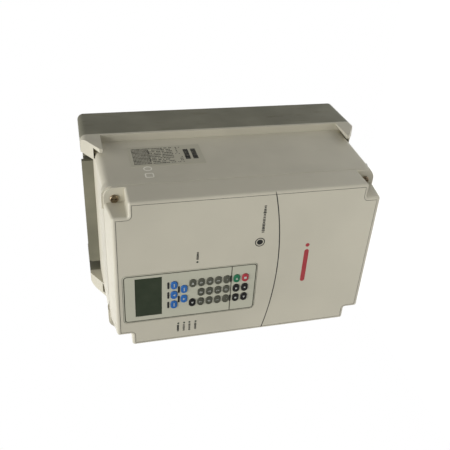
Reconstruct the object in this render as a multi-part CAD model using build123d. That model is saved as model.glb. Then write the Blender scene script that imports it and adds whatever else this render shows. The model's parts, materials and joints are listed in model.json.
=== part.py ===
from build123d import *
import os

# Wall-mounted variable frequency drive of the sealed type, as the pieces it comes apart into.
# Millimetres, +Z up, -Y out of the wall towards the user. The origin is the centre of the four
# wall bolts on the wall plane. Depths run from the wall: a depth d lies at y = -d.

# ---- Driving dimensions ----------------------------------------------------------------------
WIDTH = 220.0
HEIGHT = 350.0
DEPTH = 210.7

BOLT_EDGE_X = 9.5
BOLT_EDGE_Z = 7.2
BOLT_HOLE_R = 3.0

# heat sink
SINK_DEPTH = 65.0
SINK_BASE = 6.5
SINK_SIDE = 4.0
FIN_PITCH = 8.0
FIN_THICK = 2.4
FIN_END_GAP = 3.0
SLOT_WIDTH = 16.0
FOOT_WIDTH = 19.0
FOOT_CORNER_R = 8.0
SINK_REAR_R = 2.0
SINK_SCREW_IN_X = 16.0
SINK_SCREW_IN_Z = 18.0
FAN_BOSS_L = 14.0
FAN_TAP_L = 10.0

# rear housing
END_ZONE = 14.0
SIDE_LEDGE = 9.4
HOUSING_WALL = 4.0
HOUSING_DRAFT_X = 2.2
HOUSING_DRAFT_Z = 4.4
HOUSING_CORNER_R = 8.0
RIM_PROUD = 0.9
RIM_THICK = 4.0
RIM_CORNER_R = 12.0
RIM_INSET = 9.0
RIM_PAD_X = 26.5
RIM_PAD_Z = 31.0
CORNER_PROUD = 1.6
CORNER_DEEP = 18.0
CORNER_SLOPE = 8.0
CORNER_SQUARE = 60.0
OPENING_R = 3.0
COVER_BOSS_R = 5.6
COVER_BOSS_L = 26.0
COVER_TAP_L = 22.0
CARRIER_TAP_L = 12.0

# mounting feet of the housing
FOOT_SEAT = 4.5
FOOT_EDGE = 6.5
FOOT_RISE = 41.0
FOOT_LENGTH = 24.0
FOOT_CREST = 3.5
FOOT_LEAN = 3.0
FOOT_SETBACK = 0.4
FOOT_WEB = 1.8

# front cover
COVER_DEPTH = 35.9
COVER_WALL = 3.0
COVER_TAPER_Z = 5.6
COVER_TAPER_X = 0.2
COVER_INSET = 0.3
COVER_EDGE_R = 3.0
JOINT_GAP = 0.3
NOTCH_X = 17.7
NOTCH_Z = 16.9
NOTCH_R = 2.0
COVER_SCREW_EDGE_X = 12.7
COVER_SCREW_EDGE_Z = 5.9
COVER_SCREW_R = 2.0
COVER_SCREW_L = 16.0
SCREW_HEAD_R = 4.6
SCREW_HEAD_H = 2.6
SCREW_PLAY = 0.4
SEAM_RADIUS = 406.0
SEAM_BELOW_PAD = 24.2
GROOVE_WIDTH = 1.0
GROOVE_DEEP = 1.4
FACE_LINE_WIDTH = 0.6
FACE_LINE_DEEP = 0.8
FACE_LINE_INSET = 0.4

# gaskets
GASKET_WIDTH = 3.5
GASKET_THICK = 2.0
GASKET_EDGE = 1.0

# keypad panel
PAD_WIDTH = 68.0
PAD_HEIGHT = 155.8
PAD_X = -29.0
PAD_TOP_MARGIN = 7.9
PAD_CORNER_R = 4.5
PAD_SEAM = 0.5
PAD_THICK = 2.8
PAD_FLANGE = 2.5
PAD_FLANGE_THICK = 1.6
DIVIDER_Z = -47.2
DIVIDER_MARGIN = 1.5

LCD_WIDTH = 54.5
LCD_HEIGHT = 30.3
LCD_X = 1.2
LCD_Z = 49.2
LCD_FIT = 0.15
LCD_RECESS = 0.3
LCD_FRAME = 2.0
LCD_MODULE_D = 5.0
PAD_RING = 3.0
PAD_POST_R = 3.0
PAD_SCREW_R = 1.1
PAD_SCREW_L = 4.0
PAD_SCREW_SHORT = 0.5
PAD_SCREW_HEAD_H = 1.4
BEZEL_EDGE_R = 0.4

KEY_WIDTH = 11.2
KEY_HEIGHT = 7.4
KEY_SPACE_X = 3.0
KEY_BLOCK_X = 0.6
KEY_PROUD = 1.1
KEY_TRAVEL = 0.8
KEY_FIT = 0.3
KEY_FLANGE = 0.7
KEY_FLANGE_THICK = 1.0
KEY_STEM_R = 1.5
KEY_CROWN_R = 0.5
DOME_R = 3.0
DOME_H = 0.8

# boards and what they carry
BOARD_THICK = 1.6
STANDOFF_H = 26.0
STANDOFF_R = 3.5
BOARD_SCREW_R = 1.9
BOARD_SCREW_L = 8.0
BOARD_SCREW_HEAD_R = 3.5
BOARD_SCREW_HEAD_H = 2.4
SCREW_FIT = 0.1
BOARD_EDGE = 6.0
BOARD_CLEAR = 3.0
WIRING_SPACE = 44.0
TALL_BOSS_REACH = 14.0
TALL_BOSS_H = 14.0
TALL_BOSS_SCREW = 5.5
POWER_BOARD_DOWN = 22.0
CARRIER_BELOW_RIM = 30.6
CARRIER_THICK = 3.0
CARRIER_POST_H = 4.0
CARRIER_POST_R = 4.5
CARRIER_HEIGHT = 170.0
CARRIER_TOP_GAP = 35.0
CARRIER_EDGE = 5.0
CARRIER_CORNER_R = 4.0
CARRIER_WINDOW_R = 6.0
CONTROL_MARGIN_X = 16.0
CONTROL_MARGIN_Z = 10.0
CAP_R = 17.5
CAP_PITCH = 37.0
CAP_ROWS = 2
CAP_GAP = 3.0
CAP_EDGE_R = 1.5
MODULE_W = 104.0
MODULE_H = 62.0
MODULE_D = 17.0
MODULE_WINDOW = 4.0
MODULE_Z = 30.0
MODULE_CORNER_R = 3.0
MODULE_PIN_EDGE = 4.0
POLE_PITCH = 12.0
POLES = 10

SINK_SCREW_R = 2.4
SINK_SCREW_L = 9.0
SINK_SCREW_HEAD_R = 4.5
SINK_SCREW_HEAD_H = 3.0
STUD_R = 2.5
STUD_H = 14.0
STUD_ABOVE = 12.0
STUD_X = 44.0
STUD_PITCH = 16.0
STUD_NUT_H = 4.0

MODULE_PINS = 8
MODULE_PIN_R = 0.8
TERMINAL_EDGE = 3.0
TERMINAL_H = 24.0
TERMINAL_D = 24.0
TERMINAL_WELL_R = 3.6
TERMINAL_MOUTH = 9.0
TERMINAL_WELL_DEEP = 9.0
TERMINAL_FOOT = 3.0
TERMINAL_SCREW_R = 1.9
TERMINAL_SCREW_L = 8.0
TERMINAL_HEAD_R = 3.1
TERMINAL_HEAD_H = 2.2
SENSOR_W = 20.0
SENSOR_H = 18.0
SENSOR_D = 15.0
SENSOR_EYE_R = 4.5
SENSOR_CORNER_R = 2.0
SENSOR_ABOVE = 18.0
IO_POLES = 16
IO_PITCH = 6.0
IO_H = 14.0
IO_D = 13.0
IO_EDGE = 2.0
IO_WELL_DEEP = 3.0
IO_MOUTH_FRONT = 5.5
IO_MOUTH_BACK = 9.0
CONNECTOR_W = 26.0
CONNECTOR_H = 10.0
CONNECTOR_BELOW_PAD_CENTRE = 50.0
CONNECTOR_GAP = 1.0
TONGUE_W = 18.0
TONGUE_H = 3.0
TONGUE_L = 16.0
TONGUE_FIT = 0.4

# fan
FAN_SCREW_R = 1.5
FAN_SIZE = 50.0
FAN_LENGTH = 20.0
FAN_HOLE_SPAN = 40.0
FAN_BORE_R = 23.6
FAN_BLADE_R = 22.8
FAN_HUB_R = 11.0
FAN_BLADES = 7
FAN_AIR_GAP = 0.4
FAN_BASE = 3.0
FAN_SHAFT_R = 1.5
FAN_SHAFT_FIT = 0.06
GUARD_WIRE = 1.6
FAN_POCKET_CLEAR = 2.0
FAN_ABOVE_END = 4.6
FAN_CORNER_R = 3.0
FAN_STRUT = 3.0
FAN_STRUT_BITE = 0.5
FAN_HUB_IN = 2.0
BLADE_WIDE = 14.0
BLADE_THICK = 1.3
BLADE_TILT = 38.0
GUARD_EYE_R = 3.2
GUARD_RINGS = (7.0, 13.5, 20.6)
FAN_SCREW_BITE = 8.0
FAN_SCREW_HEAD_R = 2.8
FAN_SCREW_HEAD_H = 2.0

# cable entry plate under the housing's lower wall
ENTRY_R = 14.15
SMALL_ENTRY_R = 11.35
ENTRY_PITCH = 61.7
ENTRY_FROM_FLOOR = 49.0
SMALL_ENTRY_FROM_FLOOR = 22.0
ENTRY_MARGIN = 1.5
PLATE_LAND = 8.5
PLATE_THICK = 4.0
PLATE_CORNER_R = 4.0
PLATE_PAD_H = 7.5
PLATE_SEAL = 1.0
PLUG_HEAD = 2.5
PLUG_HEAD_H = 3.0
PLUG_DISH = 1.5
PLUG_WALL = 4.0
PLUG_LENGTH = 8.0

# rating label on the right side wall
LABEL_THICK = 0.3
LABEL_FROM_JOINT = 40.0
LABEL_DEEP = 47.0
LABEL_TOP_GAP = 39.0
LABEL_LENGTH = 86.0

# keys as they stand on the panel, top row first: height above the panel's centre, then for each
# key its column (in key pitches from the middle column) and its name
KEY_ROWS = (
    (20.0, ((-1, "escape"), (0, "up"), (1, "select"))),
    (8.4, ((-0.5, "down"), (0.5, "enter"))),
    (-1.6, ((-1, "help"), (1, "alternate"))),
    (-11.6, ((-1, "digit_7"), (0, "digit_8"), (1, "digit_9"))),
    (-21.6, ((-1, "digit_4"), (0, "digit_5"), (1, "digit_6"))),
    (-31.6, ((-1, "digit_1"), (0, "digit_2"), (1, "digit_3"))),
    (-41.6, ((-1, "point"), (0, "digit_0"), (1, "sign"))),
    (-53.6, ((-1, "jog"), (0, "local"), (1, "start"))),
    (-63.9, ((-1, "reverse"), (0, "clear"), (1, "stop"))),
)

# parts soldered on the control board: X, height above the board's lower edge, width, height, depth
CHIPS = (
    (26.0, 94.0, 28.0, 28.0, 2.6),
    (50.0, 60.0, 12.0, 18.0, 2.0),
    (28.0, 60.0, 12.0, 18.0, 2.0),
    (-58.0, 28.0, 12.0, 24.0, 10.0),
    (54.0, 28.0, 12.0, 24.0, 10.0),
)

# indicator lamps beside the panel: distance out from the panel's edge, height from its centre
LAMPS_LEFT = (14.4, 7.4, 0.9, -6.6)
LAMP_RIGHT = -6.0
LAMP_FROM_PANEL = 10.0
LAMP_R = 1.3
LAMP_PROUD = 0.2
LAMP_FIT = 0.05

# ---- Places worked out from them -------------------------------------------------------------
HALF_W = WIDTH / 2
HALF_H = HEIGHT / 2
BOLT_X = HALF_W - BOLT_EDGE_X
BOLT_Z = HALF_H - BOLT_EDGE_Z
BODY_HALF_W = HALF_W - SIDE_LEDGE
BODY_HALF_H = HALF_H - END_ZONE
JOINT = DEPTH - COVER_DEPTH
FLOOR = SINK_DEPTH + HOUSING_WALL
ENTRY_DEPTH = FLOOR + ENTRY_FROM_FLOOR
SMALL_ENTRY_DEPTH = FLOOR + SMALL_ENTRY_FROM_FLOOR
FRONT_HALF_W = BODY_HALF_W - HOUSING_DRAFT_X
FRONT_HALF_H = BODY_HALF_H - HOUSING_DRAFT_Z
RIM_HALF_W = FRONT_HALF_W + RIM_PROUD
RIM_HALF_H = FRONT_HALF_H + RIM_PROUD
RIM_TOP = JOINT - JOINT_GAP / 2
RIM_UNDER = RIM_TOP - RIM_THICK
OPEN_HALF_W = RIM_HALF_W - RIM_INSET
OPEN_HALF_H = RIM_HALF_H - RIM_INSET

COVER_BACK = JOINT + JOINT_GAP / 2
COVER_HALF_W = RIM_HALF_W - COVER_INSET
COVER_HALF_H = RIM_HALF_H - COVER_INSET
FACE_HALF_W = COVER_HALF_W - COVER_TAPER_X
FACE_HALF_H = COVER_HALF_H - COVER_TAPER_Z
NOTCH_FLOOR = COVER_BACK + COVER_WALL
NOTCH_EDGE_X = FACE_HALF_W - NOTCH_X
NOTCH_EDGE_Z = FACE_HALF_H - NOTCH_Z
FACE_BACK = DEPTH - COVER_WALL

KEY_PITCH_X = KEY_WIDTH + KEY_SPACE_X
PAD_Z = FACE_HALF_H - PAD_TOP_MARGIN - PAD_HEIGHT / 2
PAD_BACK = DEPTH - PAD_THICK
KEY_FLANGE_FRONT = PAD_BACK - KEY_FIT
KEY_FLANGE_BACK = KEY_FLANGE_FRONT - KEY_FLANGE_THICK
PAD_BOARD_FRONT = PAD_BACK - LCD_MODULE_D
PAD_BOARD_BACK = PAD_BOARD_FRONT - BOARD_THICK
DOME_TOP = PAD_BOARD_FRONT + DOME_H
KEY_STEM_END = DOME_TOP + KEY_TRAVEL + KEY_FIT

INNER_HALF_W = BODY_HALF_W - HOUSING_WALL
TALL_BOSS_X = INNER_HALF_W - TALL_BOSS_REACH
BOSS_SCREW_X = TALL_BOSS_X + TALL_BOSS_SCREW
POWER_BOARD_HALF_W = TALL_BOSS_X - BOARD_CLEAR
POWER_BOARD_BACK = FLOOR + STANDOFF_H
POWER_BOARD_FRONT = POWER_BOARD_BACK + BOARD_THICK
POWER_BOARD_TOP = BODY_HALF_H - HOUSING_WALL - POWER_BOARD_DOWN
POWER_BOARD_BOTTOM = -BODY_HALF_H + HOUSING_WALL + WIRING_SPACE
CARRIER_BACK = RIM_TOP - CARRIER_BELOW_RIM
CARRIER_FRONT = CARRIER_BACK + CARRIER_THICK
CARRIER_TOP = BODY_HALF_H - CARRIER_TOP_GAP
CARRIER_BOTTOM = CARRIER_TOP - CARRIER_HEIGHT
CARRIER_HALF_W = BOSS_SCREW_X + CARRIER_EDGE
CONTROL_BACK = CARRIER_FRONT + CARRIER_POST_H
CONTROL_FRONT = CONTROL_BACK + BOARD_THICK
CONTROL_HALF_W = CARRIER_HALF_W - CONTROL_MARGIN_X
CONTROL_TOP = CARRIER_TOP - CONTROL_MARGIN_Z
CONTROL_BOTTOM = CARRIER_BOTTOM + CONTROL_MARGIN_Z
BOSS_HEIGHTS = (CARRIER_TOP - TALL_BOSS_H / 2, CARRIER_BOTTOM + TALL_BOSS_H / 2)

FOOT_INNER = HALF_W - FOOT_WIDTH
WINDOW_HALF_W = ENTRY_PITCH + ENTRY_R + ENTRY_MARGIN
WINDOW_BACK = SMALL_ENTRY_DEPTH - SMALL_ENTRY_R - ENTRY_MARGIN
WINDOW_FRONT = ENTRY_DEPTH + ENTRY_R + ENTRY_MARGIN
PLATE_TOP = -BODY_HALF_H - PLATE_SEAL
PLATE_LOW = PLATE_TOP - PLATE_THICK
TERMINAL_SEAT = POWER_BOARD_FRONT + TERMINAL_D - TERMINAL_WELL_DEEP
CONNECTOR_PLACE = (PAD_X, PAD_Z - CONNECTOR_BELOW_PAD_CENTRE)
CONNECTOR_MOUTH = NOTCH_FLOOR
STUD_Z = -BODY_HALF_H + HOUSING_WALL + STUD_ABOVE
STUD_PLACES = ((-STUD_X, STUD_Z), (-STUD_X - STUD_PITCH, STUD_Z))

FAN_DEPTH = (SINK_DEPTH - SINK_BASE) / 2
FAN_BOTTOM = -HALF_H + FAN_ABOVE_END
FAN_TOP = FAN_BOTTOM + FAN_LENGTH

os.makedirs("parts", exist_ok=True)


# ---- Helpers -----------------------------------------------------------------------------------
def depth_plane(d):
    """Plane parallel to the wall at depth d, drawn in X and Z and extruded away from the wall."""
    return Plane(origin=(0, -d, 0), x_dir=(1, 0, 0), z_dir=(0, -1, 0))


def plate(sketch, d0, d1):
    """Sketch in X and Z made solid between two depths."""
    return extrude(depth_plane(d0) * sketch, d1 - d0)


def block(x0, x1, d0, d1, z0, z1):
    """Block between two places on each axis."""
    return Pos((x0 + x1) / 2, -(d0 + d1) / 2, (z0 + z1) / 2) * Box(x1 - x0, d1 - d0, z1 - z0)


def rod(x, z, r, d0, d1):
    """Cylinder square to the wall."""
    return plate(Pos(x, z) * Circle(r), d0, d1)


def level(sketch, z0, z1):
    """Sketch in X and depth made solid between two heights."""
    return extrude(Plane(origin=(0, 0, z0), x_dir=(1, 0, 0), z_dir=(0, 0, 1)) * sketch, z1 - z0)


def upright(x, d, r, z0, z1):
    """Vertical cylinder."""
    return Pos(x, -d, (z0 + z1) / 2) * Cylinder(r, z1 - z0)


def rounded(half_w, half_h, r):
    """Rounded rectangle centred on the drive's axis."""
    return RectangleRounded(2 * half_w, 2 * half_h, r)


def taper(half_w0, half_h0, half_w1, half_h1, r, d0, d1):
    """Rounded block that narrows evenly from depth d0 to depth d1."""
    back = depth_plane(d0) * rounded(half_w0, half_h0, r)
    front = depth_plane(d1) * rounded(half_w1, half_h1, r)
    return loft([back, front], ruled=True)


def corners(x, z):
    """The four mirror images of a point."""
    return [(sx * x, sz * z) for sx in (-1, 1) for sz in (-1, 1)]


def corner_sketch(edge_x, edge_z, r):
    """Four squares that reach outwards from the corner points, rounded towards the middle."""
    middle = CORNER_SQUARE / 2
    return Sketch() + [
        Pos(x, z) * RectangleRounded(CORNER_SQUARE, CORNER_SQUARE, r)
        for x, z in corners(edge_x + middle, edge_z + middle)
    ]


def fused(pieces):
    """One solid from overlapping or touching pieces."""
    return Part() + pieces


def save(name, shape):
    """Write one piece, or one group of equal pieces, under its own name."""
    if isinstance(shape, (list, tuple)):
        shape = Compound(children=list(shape))
    export_step(shape, f"parts/{name}.step")


def pan_screw(x, z, seat, r, length, head_r, head_h):
    """Pan-head screw driven towards the wall, its head on a face at depth seat."""
    head = rod(x, z, head_r, seat, seat + head_h)
    rim = head.edges().filter_by(GeomType.CIRCLE).sort_by(Axis.Y)[0]
    head = fillet(rim, head_h * 0.35)
    slot = 0.28 * head_r
    cross = Rectangle(1.5 * head_r, slot) + Rectangle(slot, 1.5 * head_r)
    head -= plate(Pos(x, z) * cross, seat + 0.45 * head_h, seat + head_h)
    return head + rod(x, z, r, seat - length, seat)


# ---- Heat sink ---------------------------------------------------------------------------------
SINK_SCREW_Z = BODY_HALF_H - SINK_SCREW_IN_Z
SINK_SCREWS = corners(BODY_HALF_W - SINK_SCREW_IN_X, SINK_SCREW_Z) + [(0, SINK_SCREW_Z), (0, -SINK_SCREW_Z)]


def fan_bosses():
    """Square bosses on the fins that the fan's screws bite into."""
    side = FAN_SIZE - FAN_HOLE_SPAN
    pieces = []
    for sx in (-1, 1):
        for sd in (-1, 1):
            x = sx * FAN_HOLE_SPAN / 2
            d = FAN_DEPTH + sd * FAN_HOLE_SPAN / 2
            edge = side / 2
            pieces.append(block(x - edge, x + edge, d - edge, d + edge, FAN_TOP, FAN_TOP + FAN_BOSS_L))
    return pieces


def fan_screw_places():
    """Centres of the fan's four screws as X and depth."""
    half = FAN_HOLE_SPAN / 2
    return [(sx * half, FAN_DEPTH + sd * half) for sx in (-1, 1) for sd in (-1, 1)]


def make_heat_sink():
    base_back = SINK_DEPTH - SINK_BASE
    body = block(-HALF_W, HALF_W, base_back, SINK_DEPTH, -HALF_H, HALF_H)
    sides = [
        block(sx * HALF_W - SINK_SIDE * (sx > 0), sx * HALF_W + SINK_SIDE * (sx < 0),
              0, base_back, -HALF_H, HALF_H)
        for sx in (-1, 1)
    ]
    posts = [
        plate(Pos(x, z) * Rectangle(FOOT_WIDTH, END_ZONE), 0, base_back)
        for x, z in corners(HALF_W - FOOT_WIDTH / 2, HALF_H - END_ZONE / 2)
    ]
    fins = []
    count = int((HALF_W - SINK_SIDE - FIN_THICK) // FIN_PITCH)
    pocket_half = FAN_SIZE / 2 + FAN_POCKET_CLEAR
    for i in range(-count, count + 1):
        x = i * FIN_PITCH
        low = -HALF_H + FIN_END_GAP
        if abs(x) > FOOT_INNER - FIN_PITCH:
            low = -BODY_HALF_H
        top = -low
        if abs(x) < pocket_half + FIN_THICK:
            low = FAN_TOP + FAN_POCKET_CLEAR
        fins.append(block(x - FIN_THICK / 2, x + FIN_THICK / 2, 0, base_back, low, top))
    sink = fused([body] + sides + posts + fins + fan_bosses())
    upright_edges = sink.edges().filter_by(Axis.Y)
    outer = [e for e in upright_edges
             if abs(abs(e.center().X) - HALF_W) < 0.01 and abs(abs(e.center().Z) - HALF_H) < 0.01]
    sink = fillet(outer, FOOT_CORNER_R)
    rear = sink.edges().filter_by_position(Axis.Y, -0.01, 0.01)
    sink = fillet([e for e in rear if on_sink_outline(e)], SINK_REAR_R)
    slot_x = FOOT_INNER - SLOT_WIDTH / 2
    slots = Sketch() + [
        Pos(x, z) * Rectangle(SLOT_WIDTH, END_ZONE)
        for x, z in corners(slot_x, HALF_H - END_ZONE / 2)
    ]
    sink -= plate(slots, base_back, SINK_DEPTH)
    sink = drilled(sink, corners(BOLT_X, BOLT_Z), BOLT_HOLE_R, 0, SINK_DEPTH)
    tap_end = SINK_DEPTH - SINK_SCREW_L + HOUSING_WALL
    sink = drilled(sink, SINK_SCREWS, SINK_SCREW_R + SCREW_FIT, tap_end, SINK_DEPTH)
    for x, d in fan_screw_places():
        sink -= upright(x, d, FAN_SCREW_R + SCREW_FIT, FAN_TOP, FAN_TOP + FAN_TAP_L)
    return sink


def on_sink_outline(edge):
    """True for edges on the outer border of the sink's corners and sides."""
    at = edge.center()
    on_side = abs(at.X) > HALF_W - SINK_SIDE / 2
    on_end = abs(at.X) > FOOT_INNER and abs(at.Z) > HALF_H - FOOT_CORNER_R / 2
    return on_side or on_end


# ---- Rear housing ------------------------------------------------------------------------------
def foot_profile():
    """Side view of a mounting foot, with Y across and Z up: a low seat end and a sloping web."""
    tip = HALF_H
    root = HALF_H - FOOT_LENGTH
    points = [
        (-SINK_DEPTH, root),
        (-SINK_DEPTH, tip),
        (-SINK_DEPTH - FOOT_EDGE, tip),
        (-SINK_DEPTH - FOOT_EDGE, tip - FOOT_SETBACK),
        (-SINK_DEPTH - FOOT_RISE, root + FOOT_CREST),
        (-SINK_DEPTH - FOOT_RISE, root),
    ]
    return Polygon(*points, align=None)


def make_foot():
    """Mounting foot at the upper right corner: two webs with a bolt channel between them."""
    plane = Plane(origin=(FOOT_INNER, 0, 0), x_dir=(0, 1, 0), z_dir=(1, 0, 0))
    foot = extrude(plane * foot_profile(), FOOT_WIDTH)
    corner = foot.edges().filter_by(Axis.Y).sort_by(lambda e: e.center().X + e.center().Z)[-1]
    foot = fillet(corner, FOOT_CORNER_R)
    front = -SINK_DEPTH - FOOT_EDGE
    crest = -SINK_DEPTH - FOOT_RISE - 1
    out = HALF_W + 1
    lean = Polygon((HALF_W, front), (out, front), (out, crest), (HALF_W - FOOT_LEAN, crest), align=None)
    foot -= level(lean, HALF_H - FOOT_LENGTH, HALF_H)
    seat = SINK_DEPTH + FOOT_SEAT
    channel = Polygon(
        (FOOT_INNER + FOOT_WEB, -seat),
        (HALF_W - FOOT_WEB, -seat),
        (HALF_W - FOOT_WEB, front),
        (HALF_W - FOOT_WEB - FOOT_LEAN, crest),
        (FOOT_INNER + FOOT_WEB, crest),
        align=None,
    )
    foot -= level(channel, BODY_HALF_H, HALF_H - FOOT_WEB)
    return foot - rod(BOLT_X, BOLT_Z, BOLT_HOLE_R, SINK_DEPTH, seat)


def entry_places():
    """Cable entries in the lower wall: (X, depth, radius), the power entries first."""
    large = [(i * ENTRY_PITCH, ENTRY_DEPTH, ENTRY_R) for i in (-1, 0, 1)]
    small = [(i * ENTRY_PITCH / 2, SMALL_ENTRY_DEPTH, SMALL_ENTRY_R) for i in (-1, 1)]
    return large + small


def entry_window(margin):
    """Window in the lower wall over the cable entries, in X and depth, grown by margin."""
    x = WINDOW_HALF_W + margin
    back = WINDOW_BACK - margin
    front = WINDOW_FRONT + margin
    return Pos(0, -(back + front) / 2) * RectangleRounded(2 * x, front - back, PLATE_CORNER_R)


def plate_screw_places():
    """The entry plate's four corner screws as X and depth."""
    half = PLATE_LAND / 2
    x = WINDOW_HALF_W + half
    return [(sx * x, d) for sx in (-1, 1) for d in (WINDOW_BACK - half, WINDOW_FRONT + half)]


def plate_holes(r, z0, z1):
    """Cutters for the entry plate's screw holes."""
    return [upright(x, d, r, z0, z1) for x, d in plate_screw_places()]


def opening_sketch(margin):
    """Outline of the front opening, stepped in round the cover screws, grown by margin."""
    outline = rounded(OPEN_HALF_W + margin, OPEN_HALF_H + margin, OPENING_R + margin)
    step = corner_sketch(COVER_HALF_W - RIM_PAD_X + margin, COVER_HALF_H - RIM_PAD_Z + margin, NOTCH_R)
    return outline - step


def floor_seal_half(extra):
    """Half width and half height of the floor gasket's ring, extra inwards from its outer edge."""
    return INNER_HALF_W - GASKET_EDGE - extra, BODY_HALF_H - HOUSING_WALL - GASKET_EDGE - extra


def floor_seal_ring():
    outer = rounded(*floor_seal_half(0), HOUSING_CORNER_R)
    return outer - rounded(*floor_seal_half(GASKET_WIDTH), HOUSING_CORNER_R - GASKET_WIDTH)


def module_window(margin):
    return Pos(0, MODULE_Z) * Rectangle(MODULE_W + 2 * margin, MODULE_H + 2 * margin)


def rim_corners():
    """Thicker flared corners under the rim, round the cover screws."""
    half_h = RIM_HALF_H + CORNER_PROUD
    slope_end = RIM_TOP - CORNER_DEEP + CORNER_SLOPE
    flare = taper(FRONT_HALF_W - RIM_PROUD, FRONT_HALF_H - RIM_PROUD, RIM_HALF_W, half_h, RIM_CORNER_R,
                  RIM_TOP - CORNER_DEEP, slope_end)
    flare += plate(rounded(RIM_HALF_W, half_h, RIM_CORNER_R), slope_end, RIM_TOP)
    zone = corner_sketch(COVER_HALF_W - RIM_PAD_X, COVER_HALF_H - RIM_PAD_Z, NOTCH_R)
    return flare & plate(zone, RIM_TOP - CORNER_DEEP, RIM_TOP)


def make_rear_housing():
    shell = taper(BODY_HALF_W, BODY_HALF_H, FRONT_HALF_W, FRONT_HALF_H, HOUSING_CORNER_R,
                  SINK_DEPTH, RIM_UNDER)
    shell += plate(rounded(RIM_HALF_W, RIM_HALF_H, RIM_CORNER_R), RIM_UNDER, RIM_TOP)
    shell += rim_corners()
    shell += block(-HALF_W, HALF_W, SINK_DEPTH, FLOOR, -BODY_HALF_H, BODY_HALF_H)
    shell += level(entry_window(PLATE_LAND), -BODY_HALF_H, -BODY_HALF_H + PLATE_PAD_H)
    foot = make_foot()
    upper = [foot, mirror(foot, about=Plane.YZ)]
    shell += upper + [mirror(f, about=Plane.XY) for f in upper]
    slope_z = HOUSING_DRAFT_Z * HOUSING_WALL / (RIM_UNDER - SINK_DEPTH)
    hollow = taper(
        INNER_HALF_W, BODY_HALF_H - HOUSING_WALL - slope_z,
        FRONT_HALF_W - HOUSING_WALL, FRONT_HALF_H - HOUSING_WALL,
        HOUSING_CORNER_R - HOUSING_WALL, FLOOR, RIM_UNDER,
    )
    shell -= hollow - level(entry_window(PLATE_LAND), -BODY_HALF_H, -BODY_HALF_H + PLATE_PAD_H)
    shell -= plate(opening_sketch(0), RIM_UNDER, RIM_TOP)
    bosses = [rod(x, z, COVER_BOSS_R, RIM_UNDER - COVER_BOSS_L, RIM_UNDER) for x, z in cover_screw_places()]
    for z in BOSS_HEIGHTS:
        for sx in (-1, 1):
            ends = sorted((sx * TALL_BOSS_X, sx * (FRONT_HALF_W - HOUSING_WALL / 2)))
            bosses.append(block(*ends, FLOOR, CARRIER_BACK, z - TALL_BOSS_H / 2, z + TALL_BOSS_H / 2))
    shell += bosses
    shell -= level(entry_window(0), -BODY_HALF_H, -BODY_HALF_H + PLATE_PAD_H)
    shell -= plate_holes(BOARD_SCREW_R + SCREW_FIT, -BODY_HALF_H, PLATE_LOW + BOARD_SCREW_L + 1)
    shell -= plate(module_window(MODULE_WINDOW), SINK_DEPTH, FLOOR)
    shell -= plate(floor_seal_ring(), SINK_DEPTH, SINK_DEPTH + GASKET_THICK)
    shell = drilled(shell, SINK_SCREWS, SINK_SCREW_R + SCREW_PLAY, SINK_DEPTH, FLOOR)
    shell = drilled(shell, cover_screw_places(), COVER_SCREW_R + SCREW_PLAY, RIM_UNDER - COVER_TAP_L, RIM_TOP)
    shell = drilled(shell, carrier_screw_places(), BOARD_SCREW_R + SCREW_FIT, CARRIER_BACK - CARRIER_TAP_L,
                    CARRIER_BACK)
    return drilled(shell, STUD_PLACES, STUD_R, FLOOR - HOUSING_WALL / 2, FLOOR)


def cover_screw_places():
    """The four screws stand in the cover's corner notches and follow its size."""
    return corners(FACE_HALF_W - COVER_SCREW_EDGE_X, FACE_HALF_H - COVER_SCREW_EDGE_Z)


def carrier_screw_places():
    return [(sx * BOSS_SCREW_X, z) for sx in (-1, 1) for z in BOSS_HEIGHTS]


# ---- Front cover -------------------------------------------------------------------------------
def cover_outer(shrink):
    """Outer form of the cover, or its inner form when shrunk by the wall."""
    return taper(
        COVER_HALF_W - shrink, COVER_HALF_H - shrink, FACE_HALF_W - shrink, FACE_HALF_H - shrink,
        RIM_CORNER_R - shrink, COVER_BACK, DEPTH,
    )


def notch_cut():
    """The four corner notches, open to the front and the sides, down to the screw floors."""
    return plate(corner_sketch(NOTCH_EDGE_X, NOTCH_EDGE_Z, NOTCH_R), NOTCH_FLOOR, DEPTH + 1)


def pad_outline(margin):
    r = PAD_CORNER_R + margin
    return Pos(PAD_X, PAD_Z) * RectangleRounded(PAD_WIDTH + 2 * margin, PAD_HEIGHT + 2 * margin, r)


def lamp_places():
    """Centres of the status lamps on the cover's face."""
    left = PAD_X - PAD_WIDTH / 2 - LAMP_FROM_PANEL
    right = PAD_X + PAD_WIDTH / 2 + LAMP_FROM_PANEL
    return [(left, PAD_Z + z) for z in LAMPS_LEFT] + [(right, PAD_Z + LAMP_RIGHT)]


def seam_sketch():
    """Fine curved groove right across the face, lowest in the middle."""
    low = PAD_Z - PAD_HEIGHT / 2 - SEAM_BELOW_PAD
    ring = Circle(SEAM_RADIUS + GROOVE_WIDTH / 2) - Circle(SEAM_RADIUS - GROOVE_WIDTH / 2)
    band = Pos(0, -SEAM_RADIUS) * Rectangle(WIDTH + 2 * SEAM_BELOW_PAD, SEAM_RADIUS)
    return Pos(0, low + SEAM_RADIUS) * (ring & band)


def face_outline(inset):
    """Outline of the cover's flat face with its four notches, moved inwards."""
    outline = rounded(FACE_HALF_W - inset, FACE_HALF_H - inset, RIM_CORNER_R - inset)
    return outline - corner_sketch(NOTCH_EDGE_X - inset, NOTCH_EDGE_Z - inset, NOTCH_R + inset)


def face_line():
    """Fine groove that runs round the face just inside its rounded edge."""
    start = COVER_EDGE_R + FACE_LINE_INSET
    return face_outline(start) - face_outline(start + FACE_LINE_WIDTH)


def cover_gasket_ring():
    return opening_sketch(GASKET_EDGE + GASKET_WIDTH) - opening_sketch(GASKET_EDGE)


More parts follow.
